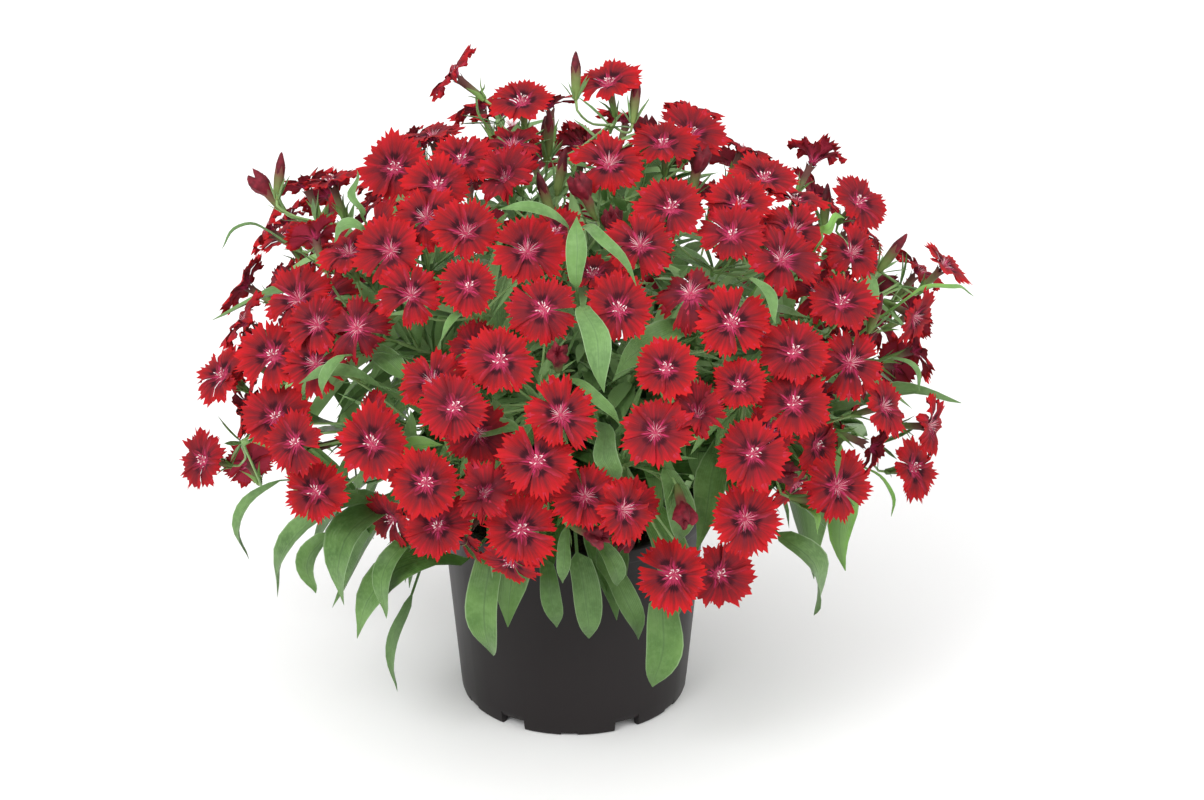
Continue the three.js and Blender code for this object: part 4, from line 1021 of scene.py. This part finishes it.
def read_bloom(hub):
    """A bloom's place, the way it faces, its reach, its first notch and the rings below it."""
    rim = around([hub])
    centre = hub.co.copy()
    facing = sum((face.normal * face.calc_area() for face in hub.link_faces), Vector()).normalized()
    lifts = {corner: (corner.co - centre).dot(facing) for corner in rim}
    flat = {corner: corner.co - centre - facing * lifts[corner] for corner in rim}
    notch = min(rim, key=lambda corner: flat[corner].length)
    return {"centre": centre, "facing": facing, "notch": flat[notch].normalized(),
            "reach": max(offset.length for offset in flat.values()),
            "lifts": [(lifts[corner], flat[corner].normalized()) for corner in rim],
            "rings": rings_from([hub, *rim])}


def petal_tilt(bloom, way):
    """How far a petal's middle stands above or below the even dish, as an angle."""
    near = [lift for lift, out in bloom["lifts"] if out.dot(way) > 0.85]
    return math.atan2(sum(near) / len(near) - DISH, bloom["reach"]) if near else 0.0


blooms, buds, knots = [], [], {}
for node in cyme_nodes:
    body = welded(node)
    body.normal_update()
    spent = set()
    for corner in body.verts:
        spokes = len(corner.link_edges)
        if spokes >= HUB_SPOKES:
            blooms.append({**read_bloom(corner), "node": node})
            spent.update((corner, *around([corner])))
        elif spokes == TIP_SPOKES:
            buds.append({"tip": corner.co.copy(), "rings": rings_from([corner]), "node": node})
            spent.add(corner)
    for grown in [*blooms, *buds]:
        if "line" not in grown:
            rings = grown.pop("rings")
            spent.update(corner for ring in rings[:-1] for corner in ring)
            grown["line"] = [middle(ring) for ring in rings]
    knots[node] = middle([corner for corner in body.verts if corner not in spent])
    body.free()


def late_bloom(foot, out):
    """A bloom on a pedicel of its own from a stem below the bunches, facing out of the dome."""
    offset = foot - DOME_CENTRE
    away = Vector([part / radius ** 2 for part, radius in zip(offset, DOME_RADII)]).normalized()
    centre = foot + dice.uniform(28, 66) * MM * (away + 0.4 * out).normalized()
    facing = (away + Vector(dice.normal(0, 0.22, 3)) + Vector((0, 0, 0.15))).normalized()
    calyx_foot = centre - facing * (DISH + DISC_THICK + CALYX_LENGTH)
    return {"centre": centre, "facing": facing, "reach": dice.uniform(*LATE_REACH), "node": None,
            "notch": facing.orthogonal().normalized(), "lifts": [],
            "line": [centre, calyx_foot, (calyx_foot + foot) / 2 - facing * 2 * MM, foot]}


spares = [late_bloom(foot, out) for foot, out, _ in stem_joints for _ in range(3)
          if foot.z > LATE_FOOT and dome_share(foot) < LATE_EDGE[1]]
spares = [spare for spare in spares if spare["centre"].z > LATE_LOWEST
          and LATE_EDGE[0] < dome_share(spare["centre"]) < LATE_EDGE[1]]
room = np.array([min((spare["centre"] - bloom["centre"]).length for bloom in blooms)
                 for spare in spares])


def roomiest(count, least=0.0):
    """The spares that stand farthest from all that has been taken, one after another."""
    taken = []
    while len(taken) < count and room.max() >= least:
        taken.append(spares[int(room.argmax())])
        gaps = [(spare["centre"] - taken[-1]["centre"]).length for spare in spares]
        np.minimum(room, gaps, out=room)
    return taken


blooms += roomiest(LATE_COUNT, LATE_GAP)
buds += [{"tip": spare["line"][1] + spare["facing"] * BUD_LENGTH, "line": spare["line"][1:],
          "node": None} for spare in roomiest(LATE_BUDS)]
blooms.sort(key=lambda bloom: tuple(round(part, 5) for part in bloom["centre"]))
buds.sort(key=lambda bud: tuple(round(part, 5) for part in bud["tip"]))


def quarter(place):
    return ("left" if place.x < 0 else "right") + "_" + ("front" if place.y < 0 else "back")


petal_spots = {}
for bloom in blooms:
    facing = bloom["facing"]
    high = (bloom["centre"].z - cad_low.z) / (cad_high.z - cad_low.z) >= HIGH_FROM
    look = int(dice.choice(len(PETAL_LOOKS), p=LOOK_SHARES["high" if high else "low"]))
    bloom["loose"] = look >= LOOSE or dice.random() < 0.25
    if look == WITHERING:
        bloom["age"], sway = 0.95, float(dice.choice((-0.5, 0.6)))
    else:
        bloom["age"], sway = (0.05 if bloom["node"] else 0.3) + 0.7 * dice.beta(1.3, 2.2), 0.0
    spots = petal_spots.setdefault(quarter(bloom["centre"]) if bloom["node"] else "late", [])
    for petal in range(PETALS):
        way = bloom["notch"].copy()
        way.rotate(Matrix.Rotation(2 * math.pi * (petal + 0.5) / PETALS, 3, facing))
        tilt = petal_tilt(bloom, way) + sway + dice.normal(0, LOOK_SWAY[look])
        axes = Matrix((way, facing.cross(way), facing)).transposed()
        lie = Matrix.Rotation(-tilt, 3, "Y") @ Matrix.Rotation(PETAL_LAP, 3, "X")
        lie = Matrix.Rotation(dice.normal(0, 0.085), 3, "Z") @ lie
        spots.append((tuple(bloom["centre"]), tuple((axes @ lie).to_quaternion()),
                      bloom["reach"] / BLOOM_RADIUS * dice.uniform(0.92, 1.12),
                      PETALS_A_LOOK * look + int(dice.integers(PETALS_A_LOOK)),
                      float(np.clip(bloom["age"] + dice.normal(0, 0.1), 0, 1))))


def streak_node(tree, uv, scale, detail=3.0):
    """Streaks that run out along a petal, and differ from petal to petal by its age."""
    mapping = add_node(tree, "ShaderNodeMapping", {"Vector": uv, "Scale": scale})
    shift = product_node(tree, attribute_node(tree, "age"), 60.0)
    return add_node(tree, "ShaderNodeTexNoise", {
        "Vector": mapping.outputs["Vector"], "W": shift, "Scale": 1.0, "Detail": detail,
    }, noise_dimensions="4D").outputs["Fac"]


def swing_node(tree, value, width):
    """A value from 0 to 1 as one that swings about nought by a width."""
    return product_node(tree, math_node(tree, "SUBTRACT", value, 0.5), width)


petal_red, tree, shader = new_material(
    "petal", Roughness=0.75, Specular_IOR_Level=0.08, Sheen_Weight=0.03, Sheen_Roughness=0.5,
    Sheen_Tint=(1.0, 0.12, 0.2, 1))
uv, aside, along = blade_places(tree)
age, under = attribute_node(tree, "age"), attribute_node(tree, "under")
streak = streak_node(tree, uv, (30, 2.2, 1))
zones = streak_node(tree, uv, (9, 1.0, 1), 2)
jitter = math_node(tree, "ADD", swing_node(tree, streak, 0.75), swing_node(tree, zones, 0.80))
out_along = math_node(tree, "ADD", along, jitter)
near_along = math_node(tree, "ADD", along, product_node(tree, jitter, 0.3))
fresh = ramp_node(tree, out_along, [
    (0.12, (0.48, 0.048, 0.125)), (0.22, (0.25, 0.018, 0.045)), (0.34, (0.150, 0.014, 0.022)),
    (0.54, (0.190, 0.012, 0.016)), (0.74, (0.340, 0.011, 0.013)), (0.95, (0.50, 0.011, 0.012)),
])
old = ramp_node(tree, out_along, [
    (0.12, (0.42, 0.042, 0.115)), (0.24, (0.17, 0.019, 0.040)), (0.38, (0.112, 0.014, 0.021)),
    (0.62, (0.142, 0.013, 0.019)), (0.82, (0.230, 0.011, 0.015)), (1.0, (0.37, 0.011, 0.014)),
])
red = layered(
    tree, mix_node(tree, age, fresh, old),
    # Broad brighter zones, the pink sides, and fine streaks darker and brighter than the rest.
    (range_node(tree, zones, 0.52, 0.72, 0.0, 0.30), (0.47, 0.010, 0.036)),
    (product_node(tree, range_node(tree, aside, 0.35, 0.45, 0.0, 0.95),
                  range_node(tree, near_along, 0.44, 0.24)), (0.52, 0.034, 0.125)),
    (range_node(tree, streak, 0.44, 0.72, 0.0, 0.36), (0.15, 0.011, 0.016)),
    (range_node(tree, streak, 0.42, 0.22, 0.0, 0.22), (0.56, 0.016, 0.026)),
    # The dark patch, weaker with age, and the paler under side.
    (product_node(tree, range_node(tree, aside, 0.22, 0.36, 1.0, 0.0),
                  range_node(tree, near_along, 0.37, 0.47, 1.0, 0.0),
                  range_node(tree, near_along, 0.21, 0.27),
                  range_node(tree, age, 0.3, 0.8, 0.92, 0.5)), (0.026, 0.006, 0.010)),
    (range_node(tree, under, 0.25, 1.0, 0.0, 0.8), (0.40, 0.030, 0.062)),
)
tree.links.new(red, shader.inputs["Base Color"])
bump_node(tree, shader, streak, 0.5 * MM, 0.7)

petal_patterns = [petal_pattern(*look) for look in PETAL_LOOKS for _ in range(PETALS_A_LOOK)]
for part, spots in sorted(petal_spots.items()):
    nodes = {bloom["node"] for bloom in blooms
             if bloom["node"] and quarter(bloom["centre"]) == part}
    set_out(f"petals_{part}", petal_patterns, spots, petal_red, "petal", *sorted(nodes))

# ------------------------------------------------------------------ the stamens
# A tuft stands in each pink throat: pale anthers on thin threads in a flat bloom, and a brush of
# pink threads in a loose one.
THREAD = 0.15 * MM
ANTHER = 0.75 * MM
TUFT_KINDS = 3


def ring_faces(count, sides):
    """The faces of rings of corners one above another, and a fan from a last corner at each end."""
    after = [(j + 1) % sides for j in range(sides)]
    low, high, last = count * sides, count * sides + 1, (count - 1) * sides
    faces = [(i * sides + j, i * sides + after[j], (i + 1) * sides + after[j], (i + 1) * sides + j)
             for i in range(count - 1) for j in range(sides)]
    faces += [(low, after[j], j) for j in range(sides)]
    return faces + [(high, last + j, last + after[j]) for j in range(sides)]


def tube(path, radii, sides, shade=0.0):
    """A round tube along a path, closed at both ends."""
    path, radii = np.asarray(path, float), np.asarray(radii, float)
    forward = unit(np.gradient(path, axis=0))
    helper = np.array([0.0, 0.0, 1.0]) if abs(forward[0][2]) < 0.9 else np.array([1.0, 0.0, 0.0])
    side = unit(np.cross(helper, forward[0]))
    turns = 2 * math.pi * np.arange(sides) / sides
    rings = []
    for point, way, radius in zip(path, forward, radii):
        side = unit(side - way * np.dot(side, way))
        rings.append(point + radius * (np.cos(turns)[:, None] * side
                                       + np.sin(turns)[:, None] * np.cross(way, side)))
    count = len(path)
    places = np.stack([np.tile(np.arange(sides) / sides, count),
                       np.repeat(np.linspace(0, 1, count), sides)], axis=1)
    return part_of(np.concatenate([*rings, path[:1], path[-1:]]), ring_faces(count, sides),
                   [*places, (0.5, 0), (0.5, 1)], shade=shade)


def thread_part(path, radius, shade):
    """A three-sided thread along a path, drawn out to a point at its end."""
    part = tube(path[:-1], [radius] * (len(path) - 1), 3, shade)
    part["points"][-1] = path[-1]
    return part


def stood(way):
    """The turn that stands a pattern's +Z along a way."""
    return tuple(way.to_track_quat("Z", "X"))


def tuft_pattern(loose):
    """A tuft on the bloom's axis, +Z, with the plug of pink that closes the throat."""
    parts = [tube([(0, 0, -1.6 * MM), (0, 0, -0.5 * MM), (0, 0, 0.2 * MM)],
                  [1.6 * MM, 3.0 * MM, 0.9 * MM], 7, 0.15)]
    thread = THREAD * (0.8 if loose else 1)
    for i in range(32 if loose else 11):
        turn = 2 * math.pi * (i * 0.382 + dice.uniform(-0.04, 0.04))
        lean = dice.uniform(0.25, 1.3) if loose else dice.uniform(0.15, 0.95)
        long = (dice.uniform(4.6, 7.4) if loose else dice.uniform(2.8, 5.2)) * MM
        out, up = np.array([*polar(1, turn), 0]), np.array([0, 0, 1])
        path = [0.6 * MM * (out - up)]
        for angle in (0.7 * lean, 1.15 * lean):
            path.append(path[-1] + long / 2 * (math.sin(angle) * out + math.cos(angle) * up))
        parts.append(thread_part(path, thread, dice.choice([0.4, 0.7, 0.95]) if loose else 0.7))
        if not loose and i % 5 != 4:
            way = unit(out * dice.uniform(0.4, 1.6) + np.array([*dice.normal(0, 0.5, 2), 0.5]))
            parts.append(tube([path[-1] - ANTHER * way, path[-1], path[-1] + ANTHER * way],
                              [0.12 * MM, 0.34 * MM, 0.12 * MM], 3, 1.0))
    return mesh_of("tuft", parts)


stamen_pink, tree, shader = new_material("stamens", Roughness=0.6, Specular_IOR_Level=0.3)
tone = math_node(tree, "ADD", attribute_node(tree, "shade"),
                 swing_node(tree, noise_node(tree, 900, 1), 0.5))
tree.links.new(ramp_node(tree, tone, [
    (0.1, (0.36, 0.018, 0.07)), (0.4, (0.60, 0.09, 0.18)), (0.75, (0.72, 0.33, 0.38)),
    (1.0, (0.84, 0.70, 0.68)),
]), shader.inputs["Base Color"])
tuft_patterns = [tuft_pattern(loose) for loose in (False, True) for _ in range(TUFT_KINDS)]
tuft_spots = [(tuple(bloom["centre"]), stood(bloom["facing"]), bloom["reach"] / BLOOM_RADIUS,
               TUFT_KINDS * bloom["loose"] + int(dice.integers(TUFT_KINDS)), bloom["age"])
              for bloom in blooms]
set_out("stamens", tuft_patterns, tuft_spots, stamen_pink, "petal")

# ------------------------------------------------------------------ calyces, bracts and pedicels
# A bloom sits in a tube of fused sepals with five pointed teeth, green at its foot and brown-purple
# at its mouth. Awl-shaped bracts hug its foot, and a thin pedicel carries it from the bunch's knot.
CALYX_SIDES = 10
# Heights and radii in millimetres: the tube's rings, and then a tooth's foot and its tip.
OPEN_CALYX = [(-0.5, 0.75), (0.4, 1.45), (6.5, 1.75), (14.5, 2.05)], (15.8, 2.35), (18.4, 3.2)
CALYX_KINDS = 6
BRACT_KINDS = 4
PEDICEL = 0.8 * MM
PEDICEL_ROWS = 8
KNOT_RADII = np.array([0.9, 1.25, 1.75, 1.45, 0.5]) * MM
dice = np.random.default_rng(8)


def calyx_part(rings, tooth_foot, tooth_tip):
    """A calyx along +Z from its foot at the origin, with five teeth at its mouth."""
    turns = 2 * math.pi * np.arange(CALYX_SIDES) / CALYX_SIDES
    points = [(*polar(radius, turn), z) for z, radius in rings for turn in turns]
    for j, turn in enumerate(turns):
        z, radius = tooth_tip if j % 2 else tooth_foot
        points.append((*polar(radius, turn), z))
    points = np.array([*points, (0, 0, rings[0][0]), (0, 0, rings[-1][0] - 1.5)])
    return part_of(points * MM, ring_faces(len(rings) + 1, CALYX_SIDES),
                   [(0.5, z / 18) for z in points[:, 2]])


def bract_part(bearing, long, width, lean):
    """An awl-shaped bract from a calyx's foot, close to it below and spreading above."""
    rows = np.linspace(0, 1, 4)
    out = np.array([*polar(1, bearing), 0])
    left = np.cross([0, 0, 1.0], out)
    reach = 1.5 * MM + long * (0.05 * rows + lean * rows ** 2)
    half = width / 2 * (1 - rows ** 1.6) + 0.08 * MM
    across = np.array([-1, 0, 1])[None, :, None]
    rise = np.stack([0 * rows, 0 * rows, long * rows * (1 - 0.25 * lean * rows)], axis=1)
    top = (reach[:, None] * out + rise)[:, None, :] + half[:, None, None] * (
        across * left - 0.4 * np.abs(across) * out)
    return blade(top, 0.3 * MM, along=rows * 0.9, shade=1.0)


def calyx_pattern():
    first = dice.uniform(0, 6.28)
    bracts = [bract_part(first + i * math.pi / 2 + dice.normal(0, 0.2), dice.uniform(8, 16) * MM,
                         dice.uniform(1.8, 2.8) * MM, dice.uniform(0.1, 0.6)) for i in range(4)]
    return mesh_of("calyx", [calyx_part(*OPEN_CALYX), *bracts])


ROLLED_REDS = [(0.36, (0.055, 0.006, 0.010)), (0.62, (0.15, 0.009, 0.019)),
               (0.95, (0.34, 0.024, 0.045))]


def calyx_finish(name, stops, bract_green):
    """Sepals that change colour from foot to mouth, green bracts, and the reds of rolled petals."""
    material, tree, shader = new_material(name, Roughness=0.6, Specular_IOR_Level=0.2)
    along = blade_places(tree)[2]
    age, shade = attribute_node(tree, "age"), attribute_node(tree, "shade")
    mottle = noise_node(tree, 320, 3)
    along = math_node(tree, "ADD", along, swing_node(tree, mottle, 0.35))
    along = math_node(tree, "ADD", along, product_node(tree, age, 0.3))
    rolled = math_node(tree, "ADD", product_node(tree, noise_node(tree, 240, 3), 0.9),
                       product_node(tree, age, 0.2))
    tone = layered(
        tree, ramp_node(tree, along, stops), (shade, bract_green),
        (range_node(tree, shade, -1.0, -0.2, 1.0, 0.0), ramp_node(tree, rolled, ROLLED_REDS)))
    tree.links.new(tone, shader.inputs["Base Color"])
    bump_node(tree, shader, mottle, 0.15 * MM, 0.6)
    return material


calyx_green = calyx_finish("calyx", [
    (0.0, (0.24, 0.33, 0.11)), (0.35, (0.15, 0.215, 0.07)), (0.62, (0.135, 0.125, 0.055)),
    (0.90, (0.12, 0.045, 0.038)),
], (0.15, 0.26, 0.07))
calyx_patterns = [calyx_pattern() for _ in range(CALYX_KINDS)]
calyx_spots = [(tuple(bloom["line"][1]), stood(bloom["facing"]), 1.0,
                int(dice.integers(CALYX_KINDS)), bloom["age"]) for bloom in blooms]
set_out("calyces", calyx_patterns, calyx_spots, calyx_green, "leaf",
        *sorted({bloom["node"] for bloom in blooms if bloom["node"]}))


def ways_round(way, count, step, sway):
    """Ways square to another, one after another round it."""
    side = way.orthogonal()
    for i in range(count):
        out = side.copy()
        out.rotate(Matrix.Rotation(i * step + dice.uniform(-sway, sway), 3, way))
        yield out


pedicel_shares = np.linspace(0, 1, PEDICEL_ROWS)
pedicel_radii = PEDICEL * np.interp(pedicel_shares, [0, 0.1, 0.5, 0.9, 1],
                                    [1.15, 0.95, 0.8, 0.85, 1.0])
pedicel_parts, bract_spots = [], []
for grown in [*blooms, *buds]:
    foot, mid, socket = grown["line"][1:4] if "facing" in grown else grown["line"][-3:]
    facing = grown["facing"] if "facing" in grown else (grown["tip"] - foot).normalized()
    line = smooth_path([socket + (socket - mid).normalized() * 1.5 * MM, socket, mid,
                        foot - facing * 2 * MM, foot + facing * 0.5 * MM], pedicel_shares)
    pedicel_parts.append(tube(line, pedicel_radii, 5))
for node, knot in sorted(knots.items()):
    nearest = np.argsort(np.linalg.norm(stem_corners - np.array(knot), axis=1))[:3]
    end = Vector(stem_corners[nearest].mean(axis=0))
    way = (knot - end).normalized()
    line = [end - way * 1.0 * MM, end + way * 0.6 * MM, knot - way * 0.4 * MM,
            knot + way * 1.2 * MM, knot + way * 2.0 * MM]
    pedicel_parts.append(tube(line, KNOT_RADII, 8))
    for out in ways_round(way, int(dice.integers(3, 6)), 2.4, 0.4):
        lie = (way * dice.uniform(0.4, 1.1) + out * 0.8).normalized()
        bract_spots.append((tuple(knot), leaf_turn(lie, -way), dice.uniform(14, 27) * MM,
                            int(dice.integers(BRACT_KINDS)), 0.0))
finish_piece("pedicels", mesh_of("pedicels", pedicel_parts), stem_green, "leaf", *sorted(knots))
bract_patterns = [small_leaf(dice.uniform(0.05, 0.07), dice.uniform(0.0, 0.25))
                  for _ in range(BRACT_KINDS)]
set_out("fork_bracts", bract_patterns, bract_spots, leaf_green, "leaf")

# ------------------------------------------------------------------ buds and spent blooms
# An unopened flower is a pointed roll of dark red petals in a green calyx. A spent one has shut
# again into a crumpled trumpet. The same bracts stand at their feet.
SHUT_CALYX = [(-0.5, 0.7), (0.4, 1.6), (4.5, 2.3), (10.5, 2.6)], (12.5, 2.55), (17.0, 2.75)
# Heights and radii of the furled petals in millimetres, shut tight and spent.
ROLLED = [(9.0, 1.9), (13.5, 2.5), (17.5, 2.3), (20.5, 1.6), (23.0, 0.8), (24.0, 0.2)]
CRUMPLED = [(9.0, 1.6), (12.0, 2.2), (14.5, 3.3), (17.0, 4.3), (19.5, 4.9), (21.8, 4.7),
            (23.6, 3.6), (24.6, 2.2)]
FURL_SIDES = 17
BUD_KINDS = 3


def furl_part(rows, folds, depth, twist, ragged):
    """Petals furled on the axis, from rows of height and radius, in folds that deepen upwards."""
    part = tube([(0, 0, z * MM) for z, _ in rows], [radius * MM for _, radius in rows], FURL_SIDES,
                shade=-1.0)
    turns = np.tile(2 * math.pi * np.arange(FURL_SIDES) / FURL_SIDES, len(rows))
    share = np.repeat(np.linspace(0, 1, len(rows)), FURL_SIDES)
    wave = np.sin(folds * turns + twist * share + dice.uniform(0, 6.28))
    crease = depth * np.sqrt(share) * (wave + dice.normal(0, 0.3, len(share)))
    part["points"][:-2, :2] *= (1 + crease)[:, None]
    part["points"][:-2, 2] += ragged * share ** 3 * (wave + dice.normal(0, 0.5, len(share)))
    part["points"][-1, 2] -= 2 * ragged
    return part


def bud_pattern(rows, *furl):
    return mesh_of("bud", [calyx_part(*SHUT_CALYX), furl_part(rows, *furl)])


bud_patterns = [bud_pattern(ROLLED, 3, 0.16, twist, 0.0) for twist in (4.0, 5.0, 6.0)]
bud_patterns += [bud_pattern(CRUMPLED, folds, 0.36, 1.6, 1.9 * MM) for folds in (3, 4, 5)]
bud_skin = calyx_finish("bud", [
    (0.0, (0.22, 0.31, 0.09)), (0.40, (0.15, 0.21, 0.06)), (0.68, (0.13, 0.12, 0.045)),
    (0.90, (0.15, 0.050, 0.035)),
], (0.13, 0.24, 0.06))
bud_spots, bud_bracts = [], []
for bud in buds:
    foot, tip = bud["line"][-3], bud["tip"]
    way = (tip - foot).normalized()
    spent = dice.random() < (0.3 if bud["node"] else 0.6) and tip.z < TOP_BUDS
    kind = int(dice.integers(BUD_KINDS)) + BUD_KINDS * spent
    age = dice.uniform(0.5, 1) if spent else dice.uniform(0, 0.5)
    bud_spots.append((tuple(foot), stood(way), (tip - foot).length / BUD_LENGTH, kind, age))
    for out in ways_round(way, 4, math.pi / 2, 0.3):
        lie = (way + out * dice.uniform(0.15, 0.75)).normalized()
        bud_bracts.append((tuple(foot + out * 1.2 * MM), leaf_turn(lie, out),
                           dice.uniform(9, 17) * MM, int(dice.integers(BRACT_KINDS)),
                           dice.uniform(0, 0.6)))
set_out("buds", bud_patterns, bud_spots, bud_skin, "petal",
        *sorted({bud["node"] for bud in buds if bud["node"]}))
set_out("bud_bracts", bract_patterns, bud_bracts, leaf_green, "leaf")
